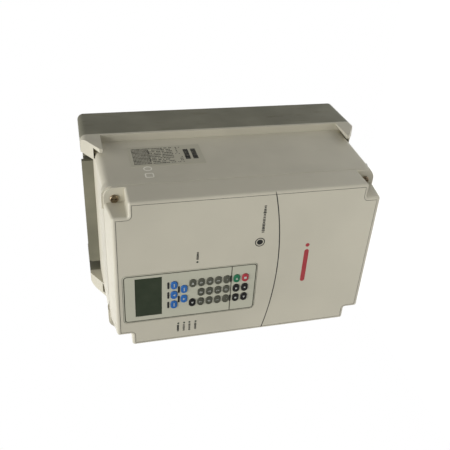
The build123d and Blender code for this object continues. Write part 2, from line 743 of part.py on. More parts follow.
def make_front_cover():
    cover = cover_outer(0) - notch_cut()
    uprights = [e for e in cover.edges() if e.length > COVER_DEPTH / 2 and on_notch_side(e)]
    cover = fillet(uprights, COVER_EDGE_R)
    face = cover.faces().sort_by(Axis.Y)[0]
    cover = fillet(face.edges(), COVER_EDGE_R)
    inside = cover_outer(COVER_WALL)
    inside -= plate(corner_sketch(NOTCH_EDGE_X - COVER_WALL, NOTCH_EDGE_Z - COVER_WALL, NOTCH_R),
                    COVER_BACK, DEPTH)
    inside &= block(-WIDTH, WIDTH, NOTCH_FLOOR, FACE_BACK, -HEIGHT, HEIGHT)
    cover -= inside
    cover -= plate(opening_sketch(0), COVER_BACK, NOTCH_FLOOR)
    cover -= plate(cover_gasket_ring(), COVER_BACK, COVER_BACK + GASKET_THICK)
    cover = drilled(cover, cover_screw_places(), COVER_SCREW_R + SCREW_PLAY, COVER_BACK, NOTCH_FLOOR)
    cover -= plate(pad_outline(PAD_SEAM), FACE_BACK, DEPTH)
    cover = drilled(cover, lamp_places(), LAMP_R, FACE_BACK, DEPTH)
    cover -= plate(face_line(), DEPTH - FACE_LINE_DEEP, DEPTH)
    return cover - plate(seam_sketch(), DEPTH - GROOVE_DEEP, DEPTH)


def on_notch_side(edge):
    """True for the outer upright edges where a notch wall meets the cover's side."""
    at = edge.center()
    side = abs(abs(at.X) - FACE_HALF_W) < 1.0 and abs(abs(at.Z) - NOTCH_EDGE_Z) < 1.0
    end = abs(abs(at.X) - NOTCH_EDGE_X) < 1.0 and abs(at.Z) > FACE_HALF_H - 1.0
    return side or end


# ---- Keypad panel ------------------------------------------------------------------------------
def key_outline(margin):
    """Oval of a key, grown by margin."""
    return RectangleRounded(KEY_WIDTH + 2 * margin, KEY_HEIGHT + 2 * margin, KEY_HEIGHT / 2 + margin - 0.01)


def key_places():
    """Each key's name and centre on the panel."""
    places = []
    for rise, row in KEY_ROWS:
        for column, name in row:
            places.append((name, PAD_X + KEY_BLOCK_X + column * KEY_PITCH_X, PAD_Z + rise))
    return places


def lcd_outline(margin):
    return Pos(PAD_X + LCD_X, PAD_Z + LCD_Z) * Rectangle(LCD_WIDTH + 2 * margin, LCD_HEIGHT + 2 * margin)


def pad_post_places():
    """Posts behind the panel that carry its board, near the board's corners and middle."""
    x = PAD_WIDTH / 2 - PAD_CORNER_R
    z = PAD_HEIGHT / 2 - PAD_CORNER_R
    return [(PAD_X + sx * x, PAD_Z + sz * z) for sx in (-1, 1) for sz in (-1, 0, 1)]


def make_keypad_bezel():
    bezel = plate(pad_outline(0), PAD_BACK, DEPTH)
    bezel = fillet(bezel.faces().sort_by(Axis.Y)[0].edges(), BEZEL_EDGE_R)
    bezel += plate(pad_outline(PAD_FLANGE), FACE_BACK - PAD_FLANGE_THICK, FACE_BACK)
    bezel += plate(pad_outline(0), FACE_BACK - PAD_FLANGE_THICK, PAD_BACK)
    pocket = pad_outline(-PAD_RING)
    bezel -= plate(pocket, FACE_BACK - PAD_FLANGE_THICK, PAD_BACK)
    bezel += [rod(x, z, PAD_POST_R, PAD_BOARD_FRONT, PAD_BACK) for x, z in pad_post_places()]
    openings = Sketch() + [Pos(x, z) * key_outline(KEY_FIT) for _, x, z in key_places()]
    bezel -= plate(openings, PAD_BACK, DEPTH)
    bezel -= plate(lcd_outline(LCD_FIT), PAD_BACK, DEPTH)
    line = Pos(PAD_X, PAD_Z + DIVIDER_Z) * Rectangle(PAD_WIDTH - 2 * DIVIDER_MARGIN, GROOVE_WIDTH / 2)
    bezel -= plate(line, DEPTH - GROOVE_DEEP / 2, DEPTH)
    for x, z in pad_post_places():
        bezel -= rod(x, z, PAD_SCREW_R + SCREW_FIT, PAD_BOARD_FRONT, PAD_BOARD_FRONT + PAD_SCREW_L)
    return bezel


def make_key(x, z):
    """Push key: crowned cap, a flange that keeps it behind the panel and a stem over its switch."""
    cap = plate(Pos(x, z) * key_outline(0), KEY_FLANGE_FRONT, DEPTH + KEY_PROUD)
    cap = fillet(cap.faces().sort_by(Axis.Y)[0].edges(), KEY_CROWN_R)
    flange = plate(Pos(x, z) * key_outline(KEY_FLANGE), KEY_FLANGE_BACK, KEY_FLANGE_FRONT)
    return cap + flange + rod(x, z, KEY_STEM_R, KEY_STEM_END, KEY_FLANGE_BACK)


def make_keypad_board():
    board = plate(pad_outline(0), PAD_BOARD_BACK, PAD_BOARD_FRONT)
    return drilled(board, pad_post_places(), PAD_SCREW_R + SCREW_FIT, PAD_BOARD_BACK, PAD_BOARD_FRONT)


def make_keypad_screws():
    """Small screws from behind the board into the panel's posts."""
    tip = PAD_BOARD_FRONT + PAD_SCREW_L - PAD_SCREW_SHORT
    return [
        rod(x, z, PAD_SCREW_R, PAD_BOARD_BACK, tip)
        + rod(x, z, 2 * PAD_SCREW_R, PAD_BOARD_BACK - PAD_SCREW_HEAD_H, PAD_BOARD_BACK)
        for x, z in pad_post_places()
    ]


def make_cover_connector():
    """Socket behind the keypad board that takes the control board's tongue."""
    x, z = CONNECTOR_PLACE
    body = plate(Pos(x, z) * Rectangle(CONNECTOR_W, CONNECTOR_H), CONNECTOR_MOUTH, PAD_BOARD_BACK)
    slot = Rectangle(TONGUE_W + 2 * TONGUE_FIT, TONGUE_H + 2 * TONGUE_FIT)
    return body - plate(Pos(x, z) * slot, CONNECTOR_MOUTH, CONNECTOR_MOUTH + TONGUE_L + TONGUE_FIT)


# ---- Boards inside -----------------------------------------------------------------------------
def standoff_places():
    x = POWER_BOARD_HALF_W - BOARD_EDGE
    top = POWER_BOARD_TOP - BOARD_EDGE
    bottom = POWER_BOARD_BOTTOM + BOARD_EDGE
    return [(sx * x, z) for sx in (-1, 1) for z in (bottom, (bottom + top) / 2, top)]


def control_post_places():
    x = CONTROL_HALF_W - BOARD_EDGE
    return [(sx * x, z) for sx in (-1, 1) for z in (CONTROL_BOTTOM + BOARD_EDGE, CONTROL_TOP - BOARD_EDGE)]


def drilled(shape, places, r, d0, d1):
    """Shape with a round hole at each place between two depths."""
    return shape - plate(Sketch() + [Pos(x, z) * Circle(r) for x, z in places], d0, d1)


def make_power_board():
    board = block(-POWER_BOARD_HALF_W, POWER_BOARD_HALF_W, POWER_BOARD_BACK, POWER_BOARD_FRONT,
                  POWER_BOARD_BOTTOM, POWER_BOARD_TOP)
    return drilled(board, standoff_places(), BOARD_SCREW_R + SCREW_FIT, POWER_BOARD_BACK, POWER_BOARD_FRONT)


def make_standoffs():
    return [
        rod(x, z, STANDOFF_R, FLOOR, POWER_BOARD_BACK)
        - rod(x, z, BOARD_SCREW_R + SCREW_FIT, POWER_BOARD_BACK - BOARD_SCREW_L, POWER_BOARD_BACK)
        for x, z in standoff_places()
    ]


def make_power_module():
    """Power semiconductor block on the heat sink, its pins up to the board."""
    body = plate(module_window(0), SINK_DEPTH, SINK_DEPTH + MODULE_D)
    body = fillet(body.edges().filter_by(Axis.Y), MODULE_CORNER_R)
    rise = MODULE_H / 2 - MODULE_PIN_EDGE
    across = [MODULE_W * ((i + 0.5) / MODULE_PINS - 0.5) for i in range(MODULE_PINS)]
    pins = [
        rod(x, MODULE_Z + sz * rise, MODULE_PIN_R, SINK_DEPTH + MODULE_D, POWER_BOARD_BACK)
        for x in across for sz in (-1, 1)
    ]
    return body + pins


def make_capacitors():
    columns = int((2 * POWER_BOARD_HALF_W - 2 * BOARD_EDGE) // CAP_PITCH)
    cans = []
    for row in range(CAP_ROWS):
        z = POWER_BOARD_TOP - BOARD_EDGE - CAP_R - row * CAP_PITCH
        for i in range(columns):
            x = (i - (columns - 1) / 2) * CAP_PITCH
            can = rod(x, z, CAP_R, POWER_BOARD_FRONT, CARRIER_BACK - CAP_GAP)
            cans.append(fillet(can.edges().filter_by(GeomType.CIRCLE), CAP_EDGE_R))
    return cans


def pole_places():
    z = POWER_BOARD_BOTTOM + TERMINAL_EDGE + 0.55 * TERMINAL_H
    return [((i - (POLES - 1) / 2) * POLE_PITCH, z) for i in range(POLES)]


def make_power_terminals():
    """Row of screw terminals that open downwards to the wiring space."""
    half = POLES * POLE_PITCH / 2
    low = POWER_BOARD_BOTTOM + TERMINAL_EDGE
    top = POWER_BOARD_FRONT + TERMINAL_D
    body = block(-half, half, POWER_BOARD_FRONT, top, low, low + TERMINAL_H)
    body = drilled(body, pole_places(), TERMINAL_WELL_R, TERMINAL_SEAT, top)
    mouths = Sketch() + [Pos(x, low) * Rectangle(TERMINAL_MOUTH, 1.5 * TERMINAL_H) for x, _ in pole_places()]
    back = POWER_BOARD_FRONT + TERMINAL_FOOT
    body -= plate(mouths, back, back + TERMINAL_MOUTH)
    return drilled(body, pole_places(), TERMINAL_SCREW_R + SCREW_FIT, back, TERMINAL_SEAT)


def make_current_sensors():
    """One sensing block over every third pole, with an eye for the conductor."""
    z = POWER_BOARD_BOTTOM + TERMINAL_EDGE + TERMINAL_H + SENSOR_ABOVE
    outline = RectangleRounded(SENSOR_W, SENSOR_H, SENSOR_CORNER_R) - Circle(SENSOR_EYE_R)
    return [
        plate(Pos(i * 3 * POLE_PITCH, z) * outline, POWER_BOARD_FRONT, POWER_BOARD_FRONT + SENSOR_D)
        for i in (-1, 0, 1)
    ]


def make_board_carrier():
    body = block(-CARRIER_HALF_W, CARRIER_HALF_W, CARRIER_BACK, CARRIER_FRONT, CARRIER_BOTTOM, CARRIER_TOP)
    body = fillet(body.edges().filter_by(Axis.Y), CARRIER_CORNER_R)
    middle = (CARRIER_TOP + CARRIER_BOTTOM) / 2
    window = Pos(0, middle) * RectangleRounded(CARRIER_HALF_W, CARRIER_HEIGHT / 2, CARRIER_WINDOW_R)
    body -= plate(window, CARRIER_BACK, CARRIER_FRONT)
    body += [rod(x, z, CARRIER_POST_R, CARRIER_FRONT, CONTROL_BACK) for x, z in control_post_places()]
    body = drilled(body, control_post_places(), BOARD_SCREW_R + SCREW_FIT, CARRIER_BACK, CONTROL_BACK)
    return drilled(body, carrier_screw_places(), BOARD_SCREW_R + SCREW_FIT, CARRIER_BACK, CARRIER_FRONT)


def make_control_board():
    """Control board with its processor, memory and relays soldered on."""
    board = block(-CONTROL_HALF_W, CONTROL_HALF_W, CONTROL_BACK, CONTROL_FRONT, CONTROL_BOTTOM, CONTROL_TOP)
    for x, rise, w, h, tall in CHIPS:
        board += plate(Pos(x, CONTROL_BOTTOM + rise) * Rectangle(w, h), CONTROL_FRONT, CONTROL_FRONT + tall)
    return drilled(board, control_post_places(), BOARD_SCREW_R + SCREW_FIT, CONTROL_BACK, CONTROL_FRONT)


def make_io_terminals():
    """Control terminals: a row of small wells at the board's lower edge."""
    half = IO_POLES * IO_PITCH / 2
    low = CONTROL_BOTTOM + IO_EDGE
    top = CONTROL_FRONT + IO_D
    body = block(-half, half, CONTROL_FRONT, top, low, low + IO_H)
    for i in range(IO_POLES):
        x = (i - (IO_POLES - 1) / 2) * IO_PITCH
        body -= rod(x, low + 0.65 * IO_H, 0.34 * IO_PITCH, top - IO_WELL_DEEP, top)
        mouth = Pos(x, low + 0.3 * IO_H) * Rectangle(0.72 * IO_PITCH, 0.6 * IO_H)
        body -= plate(mouth, top - IO_MOUTH_BACK, top - IO_MOUTH_FRONT)
    return body


def make_control_connector():
    x, z = CONNECTOR_PLACE
    shoulder = CONNECTOR_MOUTH - CONNECTOR_GAP
    body = plate(Pos(x, z) * Rectangle(CONNECTOR_W, CONNECTOR_H), CONTROL_FRONT, shoulder)
    return body + plate(Pos(x, z) * Rectangle(TONGUE_W, TONGUE_H), shoulder, CONNECTOR_MOUTH + TONGUE_L)


# ---- Fan ---------------------------------------------------------------------------------------
def fan_level(sketch, z0, z1):
    """Sketch round the fan's axis made solid between two heights."""
    return level(Pos(0, -FAN_DEPTH) * sketch, z0, z1)


def fan_hole_sketch(r):
    half = FAN_HOLE_SPAN / 2
    return Sketch() + [Pos(x, y) * Circle(r) for x, y in corners(half, half)]


def make_fan_frame():
    outline = RectangleRounded(FAN_SIZE, FAN_SIZE, FAN_CORNER_R) - Circle(FAN_BORE_R)
    frame = fan_level(outline, FAN_BOTTOM, FAN_TOP)
    struts = Circle(FAN_HUB_R)
    for turn in (0, 90):
        struts += Rot(0, 0, turn) * Rectangle(2 * (FAN_BORE_R + FAN_STRUT_BITE), FAN_STRUT)
    frame += fan_level(struts, FAN_TOP - FAN_BASE, FAN_TOP)
    frame -= fan_level(fan_hole_sketch(FAN_SCREW_R + 2 * SCREW_FIT), FAN_BOTTOM, FAN_TOP)
    return frame - fan_level(Circle(FAN_SHAFT_R + FAN_SHAFT_FIT), FAN_TOP - FAN_BASE, FAN_TOP)


def make_fan_rotor():
    """Hub with tilted blades and the shaft that turns in the frame's base."""
    hub_top = FAN_TOP - FAN_BASE - FAN_AIR_GAP
    hub_low = FAN_BOTTOM + FAN_HUB_IN
    middle = (hub_top + hub_low) / 2
    rotor = fan_level(Circle(FAN_HUB_R), hub_low, hub_top)
    root = FAN_HUB_R - FAN_HUB_IN
    reach = FAN_BLADE_R - root + FAN_HUB_IN
    ring = fan_level(Circle(FAN_BLADE_R), hub_low, hub_top)
    blade = Pos(root + reach / 2, 0, 0) * Rot(BLADE_TILT, 0, 0) * Box(reach, BLADE_WIDE, BLADE_THICK)
    blades = [Pos(0, -FAN_DEPTH, middle) * Rot(0, 0, 360 * i / FAN_BLADES) * blade for i in range(FAN_BLADES)]
    for each in blades:
        rotor += each & ring
    return rotor + fan_level(Circle(FAN_SHAFT_R), hub_top, FAN_TOP - FAN_AIR_GAP)


def make_fan_guard():
    """Flat wire finger guard with an eye over each of the fan's holes."""
    wires = Sketch()
    for r in GUARD_RINGS:
        wires += Circle(r + GUARD_WIRE / 2) - Circle(r - GUARD_WIRE / 2)
    for turn in (45, 135):
        wires += Rot(0, 0, turn) * Rectangle(FAN_HOLE_SPAN * 2 ** 0.5, GUARD_WIRE)
    wires += fan_hole_sketch(GUARD_EYE_R)
    wires -= fan_hole_sketch(FAN_SCREW_R + 2 * SCREW_FIT)
    return fan_level(wires, FAN_BOTTOM - GUARD_WIRE, FAN_BOTTOM)


def make_fan_screws():
    seat = FAN_BOTTOM - GUARD_WIRE
    return [
        upright(x, d, FAN_SCREW_R, seat, FAN_TOP + FAN_SCREW_BITE)
        + upright(x, d, FAN_SCREW_HEAD_R, seat - FAN_SCREW_HEAD_H, seat)
        for x, d in fan_screw_places()
    ]


# ---- Small pieces ------------------------------------------------------------------------------
def make_entry_plate():
    """Plate that closes the window in the lower wall and carries the cable entries."""
    body = level(entry_window(PLATE_LAND), PLATE_LOW, PLATE_TOP)
    body -= [upright(x, d, r, PLATE_LOW, PLATE_TOP) for x, d, r in entry_places()]
    return body - plate_holes(BOARD_SCREW_R + SCREW_PLAY, PLATE_LOW, PLATE_TOP)


def make_plate_seal():
    ring = level(entry_window(PLATE_LAND) - entry_window(0), PLATE_TOP, -BODY_HALF_H)
    return ring - plate_holes(BOARD_SCREW_R + SCREW_PLAY, PLATE_TOP, -BODY_HALF_H)


def make_entry_plugs():
    """Blanking plugs in the two smaller cable entries."""
    plugs = []
    for x, d, r in entry_places():
        if r == SMALL_ENTRY_R:
            head = upright(x, d, r + PLUG_HEAD, PLATE_LOW - PLUG_HEAD_H, PLATE_LOW)
            head -= upright(x, d, r - PLUG_WALL, PLATE_LOW - PLUG_HEAD_H, PLATE_LOW - PLUG_DISH)
            plugs.append(head + upright(x, d, r - SCREW_FIT, PLATE_LOW, PLATE_LOW + PLUG_LENGTH))
    return plugs


def make_ground_studs():
    return [
        rod(x, z, STUD_R, FLOOR - HOUSING_WALL / 2, FLOOR + STUD_H)
        + plate(Pos(x, z) * RegularPolygon(1.9 * STUD_R, 6), FLOOR, FLOOR + STUD_NUT_H)
        for x, z in STUD_PLACES
    ]


def make_rating_label():
    """Thin plate that lies on the slightly drafted right-hand side wall."""
    wall = (HOUSING_CORNER_R, SINK_DEPTH, RIM_UNDER)
    under = taper(BODY_HALF_W, BODY_HALF_H, FRONT_HALF_W, FRONT_HALF_H, *wall)
    proud = taper(BODY_HALF_W + LABEL_THICK, BODY_HALF_H, FRONT_HALF_W + LABEL_THICK, FRONT_HALF_H, *wall)
    front = JOINT - LABEL_FROM_JOINT
    top = BODY_HALF_H - LABEL_TOP_GAP
    window = block(0, HALF_W, front - LABEL_DEEP, front, top - LABEL_LENGTH, top)
    return (proud & window) - under


def small_screw(x, z, seat):
    return pan_screw(x, z, seat, BOARD_SCREW_R, BOARD_SCREW_L, BOARD_SCREW_HEAD_R, BOARD_SCREW_HEAD_H)


def make_small_screws():
    """The equal small screws of the boards, the carrier and the entry plate."""
    screws = [small_screw(x, z, POWER_BOARD_FRONT) for x, z in standoff_places()]
    screws += [small_screw(x, z, CARRIER_FRONT) for x, z in carrier_screw_places()]
    screws += [small_screw(x, z, CONTROL_FRONT) for x, z in control_post_places()]
    upward = Rot(90, 0, 0) * small_screw(0, 0, 0)
    return screws + [Pos(x, -d, PLATE_LOW) * upward for x, d in plate_screw_places()]


def main():
    save("heat_sink", make_heat_sink())
    save("rear_housing", make_rear_housing())
    floor_seal = plate(floor_seal_ring(), SINK_DEPTH, SINK_DEPTH + GASKET_THICK)
    save("housing_gaskets", [floor_seal, make_plate_seal()])
    save("housing_screws", [
        pan_screw(x, z, FLOOR, SINK_SCREW_R, SINK_SCREW_L, SINK_SCREW_HEAD_R, SINK_SCREW_HEAD_H)
        for x, z in SINK_SCREWS
    ])
    save("power_module", make_power_module())
    save("board_standoffs", make_standoffs())
    save("power_board", make_power_board())
    save("bus_capacitors", make_capacitors())
    save("power_terminal_block", make_power_terminals())
    save("power_terminal_screws", [
        pan_screw(x, z, TERMINAL_SEAT, TERMINAL_SCREW_R, TERMINAL_SCREW_L, TERMINAL_HEAD_R, TERMINAL_HEAD_H)
        for x, z in pole_places()
    ])
    save("current_sensors", make_current_sensors())
    save("board_carrier", make_board_carrier())
    save("control_board", make_control_board())
    save("control_terminal_block", make_io_terminals())
    save("control_connector", make_control_connector())
    save("pan_head_screws", make_small_screws())
    save("fan_frame", make_fan_frame())
    save("fan_rotor", make_fan_rotor())
    save("fan_guard", make_fan_guard())
    save("fan_screws", make_fan_screws())
    save("cable_entry_plate", make_entry_plate())
    save("cable_entry_plugs", make_entry_plugs())
    save("ground_studs", make_ground_studs())
    save("rating_label", make_rating_label())

    save("front_cover", make_front_cover())
    save("cover_gasket", plate(cover_gasket_ring(), COVER_BACK, COVER_BACK + GASKET_THICK))
    save("cover_screws", [
        pan_screw(x, z, NOTCH_FLOOR, COVER_SCREW_R, COVER_SCREW_L, SCREW_HEAD_R, SCREW_HEAD_H)
        for x, z in cover_screw_places()
    ])
    lamp_r = LAMP_R - LAMP_FIT
    save("status_lamps", [rod(x, z, lamp_r, FACE_BACK, DEPTH + LAMP_PROUD) for x, z in lamp_places()])
    save("keypad_bezel", make_keypad_bezel())
    save("lcd_window", plate(lcd_outline(0), PAD_BACK, DEPTH - LCD_RECESS))
    save("lcd_module", plate(lcd_outline(LCD_FRAME), PAD_BOARD_FRONT, PAD_BACK))
    save("keypad_board", make_keypad_board())
    save("key_switches", [rod(x, z, DOME_R, PAD_BOARD_FRONT, DOME_TOP) for _, x, z in key_places()])
    save("keypad_screws", make_keypad_screws())
    save("cover_connector", make_cover_connector())
    for name, x, z in key_places():
        save(f"key_{name}", make_key(x, z))


main()
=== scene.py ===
import json
from math import cos, pi, radians, sin

import bmesh
import bpy
from bpy.props import FloatProperty, FloatVectorProperty, IntProperty, PointerProperty, StringProperty
from mathutils import Matrix, Vector

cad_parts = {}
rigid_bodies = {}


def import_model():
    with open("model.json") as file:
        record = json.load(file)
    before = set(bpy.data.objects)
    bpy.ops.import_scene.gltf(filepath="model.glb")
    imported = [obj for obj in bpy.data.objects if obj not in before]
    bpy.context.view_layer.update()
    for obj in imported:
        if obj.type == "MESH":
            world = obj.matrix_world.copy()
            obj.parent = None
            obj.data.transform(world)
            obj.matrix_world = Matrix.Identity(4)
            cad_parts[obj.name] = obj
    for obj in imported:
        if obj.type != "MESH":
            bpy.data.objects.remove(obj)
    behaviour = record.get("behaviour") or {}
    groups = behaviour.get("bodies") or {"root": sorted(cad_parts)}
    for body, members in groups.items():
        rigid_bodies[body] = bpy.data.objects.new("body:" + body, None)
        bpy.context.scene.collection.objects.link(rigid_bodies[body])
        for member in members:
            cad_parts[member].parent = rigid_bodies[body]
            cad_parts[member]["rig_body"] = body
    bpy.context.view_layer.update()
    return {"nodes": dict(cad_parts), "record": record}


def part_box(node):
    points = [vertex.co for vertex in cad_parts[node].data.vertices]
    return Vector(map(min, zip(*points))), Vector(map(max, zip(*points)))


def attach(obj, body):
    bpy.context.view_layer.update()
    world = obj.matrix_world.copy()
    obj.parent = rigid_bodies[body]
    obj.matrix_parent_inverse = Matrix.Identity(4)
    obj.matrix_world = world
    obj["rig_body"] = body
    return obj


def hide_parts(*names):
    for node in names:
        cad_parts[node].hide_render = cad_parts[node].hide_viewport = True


bl_info = {
    "name": "Sealed motor drive",
    "version": (1, 0, 0),
    "blender": (4, 5, 0),
    "location": "View3D > Sidebar > Drive",
    "description": "Dresses the packed model of a wall-mounted variable frequency drive",
    "category": "Object",
}

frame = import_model()

MM = 0.001

# finishes
DUST = "#B9B2A0"
# dark colour of the painted shade laid into grooves and corners
CREVICE_SHADE_COLOUR = "#2B2922"
WEAR_RADIUS = 0.6 * MM
# how far the painted shade in grooves looks for walls round it
GROOVE_REACH = 1.6 * MM
BUMP_DEPTH = 0.08 * MM
SCUFF_SCALE = (260.0, 90.0, 34.0)
SCUFF_TURN = (0.2, 0.5, 0.3)

# meshes
MERGE_WITHIN = 0.002 * MM
FLAT_WITHIN = radians(0.4)
SHARP_FROM = radians(32)
CAPITAL_TO_SIZE = 1.37
ROUND_TRIM = 0.01 * MM  # a round mark is this much off round, so that no two of its points meet

# keypad panel's print and painted shadow: the bars' rise over the keys, and the dark outline and line across
# the panel, painted shadow of the gap round the panel and of the groove across it
PANEL_FLANGE = 2.5 * MM
PANEL_CORNER = 4.0 * MM
PANEL_LINE = 1.1 * MM
PANEL_LINE_INSET = 0.9 * MM
DIVIDER_HEIGHT = 18.6 * MM
BAR_ROWS = (
    (("key_escape", "key_up", "key_select"), 6.6 * MM),
    (("key_down", "key_enter"), 6.0 * MM),
    (("key_jog", "key_start"), 6.6 * MM),
)

# cover's print: places across and up from the middle of the drive
BADGE_AT = (34.0 * MM, -11.7 * MM)
BADGE_WIDTH = 7.0 * MM
BADGE_RING_R = 5.9 * MM
BADGE_RING_LINE = 1.1 * MM
BADGE_TEXT_AT = (64.5 * MM, -14.0 * MM)
BADGE_TEXT_LENGTH = 34 * MM
ACCENT_AT = (-6.0 * MM, -70.5 * MM)
ACCENT_SIZE = (47 * MM, 5.6 * MM)
DOT_AT = (23.5 * MM, -70.5 * MM)
DOT_WIDTH = 5.0 * MM
LAMP_TEXT_AT = ((-80.5 * MM, 80.5 * MM), (-80.5 * MM, 73.5 * MM), (-80.5 * MM, 66.7 * MM),
                (-80.5 * MM, 59.5 * MM), (23.5 * MM, 59.7 * MM))
LAMP_TEXT_LENGTH = 9 * MM
# the arched seam across the cover: a dark strip of painted shadow fills it
SEAM_BELOW_PANEL = 24.2 * MM
SEAM_SIDE_GAP = 3.6 * MM
SEAM_RADIUS = 406 * MM
SEAM_WIDTH = 1.2 * MM
SEAM_FILL = 1.2 * MM
SEAM_PROUD = 0.05 * MM

# rating label's print, on the right-hand side
LABEL_TEXT = (  # height of the block's middle, columns, rows, share kept, ink
    (108.0 * MM, 12, 12, 1.0, "ink"),
    (91.0 * MM, 10, 10, 0.85, "grey_ink"),
    (76.5 * MM, 7, 10, 0.7, "grey_ink"),
    (64.0 * MM, 4, 10, 0.4, "grey_ink"),
)
LABEL_TEXT_LENGTH = 36 * MM
WORD_PITCH = 1.55 * MM
CODE_HEIGHTS = (54.5 * MM, 45.5 * MM)
CODE_LENGTH = 24 * MM
LABEL_PROUD = 0.16 * MM
LABEL_LEAN = 0.3 * MM
WALL_BEHIND_LABEL = 0.28 * MM
SIDE_MARKS = ((140.5 * MM, 5.0 * MM), (155.5 * MM, 2.0 * MM))  # depth from the wall, corner radius
SIDE_MARK_HEIGHT = 104.5 * MM
SIDE_MARK_HALF = 5.0 * MM
SIDE_MARK_LINE = 1.4 * MM

# stage
SENSOR_WIDTH = 36.0
FAR_CLIP = 50.0
FLOOR_THICK = 0.05
KEY_SPREAD, RIM_SPREAD, BACK_SPREAD = 60, 80, 60  # degrees that each light fills

FRONT = Matrix.Rotation(radians(90), 4, "X")
RIGHT_SIDE = Matrix.Rotation(radians(90), 4, "Z") @ FRONT
DOWN_THE_SIDE = RIGHT_SIDE @ Matrix.Rotation(radians(90), 4, "Z")


# ---- Sizes and colours that a user would change --------------------------------------------------
class DriveColours(bpy.types.PropertyGroup):
    casing: StringProperty(name="Casing", description="Cream of the housing and the cover", default="#CAC5B3")
    panel: StringProperty(name="Keypad panel", description="Grey cream of the keypad panel",
                          default="#BFBEAB")
    sink: StringProperty(name="Heat sink", description="Olive paint of the heat sink", default="#7F7D6C")
    accent: StringProperty(name="Accent", description="Red of the plain accent on the cover",
                           default="#A93A40")
    ink: StringProperty(name="Ink", description="Dark ink of the printed marks", default="#22221F")
    menu_keys: StringProperty(name="Menu keys", description="Blue of the menu keys", default="#2D68AE")
    digit_keys: StringProperty(name="Digit keys", description="Grey of the digit keys", default="#4E4F43")
    start_key: StringProperty(name="Start key", description="Green of the start key", default="#0F6A47")
    stop_key: StringProperty(name="Stop key", description="Red of the stop key", default="#A5313B")


class DriveSizes(bpy.types.PropertyGroup):
    edge: FloatProperty(name="Moulded edge", description="Radius left on the casing's sharp edges",
                        default=0.45 * MM, subtype="DISTANCE", unit="LENGTH")
    small_edge: FloatProperty(name="Small edge", description="Radius left on small parts' edges",
                              default=0.18 * MM, subtype="DISTANCE", unit="LENGTH")
    ink_thick: FloatProperty(name="Ink thickness", description="How far printed marks stand proud",
                             default=0.06 * MM, subtype="DISTANCE", unit="LENGTH")
    legend: FloatProperty(name="Key legend", description="Height of the digits on the keys",
                          default=3.7 * MM, subtype="DISTANCE", unit="LENGTH")
    bar_length: FloatProperty(name="Label bar length", description="Length of the bars above the keys",
                              default=10.0 * MM, subtype="DISTANCE", unit="LENGTH")
    bar_height: FloatProperty(name="Label bar height", description="Height of the bars above the keys",
                              default=2.5 * MM, subtype="DISTANCE", unit="LENGTH")
    seed: IntProperty(name="Seed", description="Seed of the scattered board parts and printed lines",
                      default=7)


class DriveStudio(bpy.types.PropertyGroup):
    eye: FloatVectorProperty(name="Eye", description="Where the camera stands", size=3, subtype="XYZ",
                             unit="LENGTH", default=(0.41398, -0.73390, 0.18238))
    right: FloatVectorProperty(name="Right", description="Direction to the right of the view", size=3,
                               subtype="DIRECTION", default=(0.05628, -0.24293, -0.96841))
    forward: FloatVectorProperty(name="Forward", description="Direction of the view", size=3,
                                 subtype="DIRECTION", default=(-0.54326, 0.80634, -0.23385))
    lens: FloatProperty(name="Lens", description="Focal length on a 36 mm sensor", default=47.77,
                        subtype="DISTANCE_CAMERA")
    floor: StringProperty(name="Floor", description="Pale floor", default="#F7F7F5")
    hung: FloatProperty(name="Hung at", description="Height of the wall bolts' middle over the floor",
                        default=1.2, subtype="DISTANCE", unit="LENGTH")
    floor_width: FloatProperty(name="Floor width", description="Side of the square floor", default=3.2,
                               subtype="DISTANCE", unit="LENGTH")
    ambient: FloatProperty(name="Ambient", description="Even light from all round", default=0.19)
    key_from: FloatVectorProperty(name="Key from", description="Side that the main light comes from", size=3,
                                  subtype="DIRECTION", default=(0.03, -0.46, 0.98))
    key_power: FloatProperty(name="Key power", description="Strength of the main light", default=3.3)
    rim_from: FloatVectorProperty(name="Rim from", description="Side that the weak light comes from", size=3,
                                  subtype="DIRECTION", default=(0.7, 0.1, -0.6))
    rim_power: FloatProperty(name="Rim power", description="Strength of the weak light", default=0.15)
    back_from: FloatVectorProperty(name="Back from", description="Side that the back's light comes from",
                                   size=3, subtype="DIRECTION", default=(-0.75, 0.65, 0.05))
    back_power: FloatProperty(name="Back power", description="Strength of the back's light", default=1.3)


# ---- Materials -------------------------------------------------------------------------------------
def linear(text):
    """Linear colour of an sRGB hex value."""
    parts = [int(text[i:i + 2], 16) / 255 for i in (1, 3, 5)]
    curve = [c / 12.92 if c <= 0.04045 else ((c + 0.055) / 1.055) ** 2.4 for c in parts]
    return (*curve, 1.0)


def put(tree, kind, links=None, **settings):
    """Add a node with its settings, its inputs' values and the links into them."""
    node = tree.nodes.new(kind)
    for key, value in settings.items():
        setattr(node, key, value)
    for key, value in (links or {}).items():
        if isinstance(value, bpy.types.NodeSocket):
            tree.links.new(value, node.inputs[key])
        else:
            node.inputs[key].default_value = value
    return node


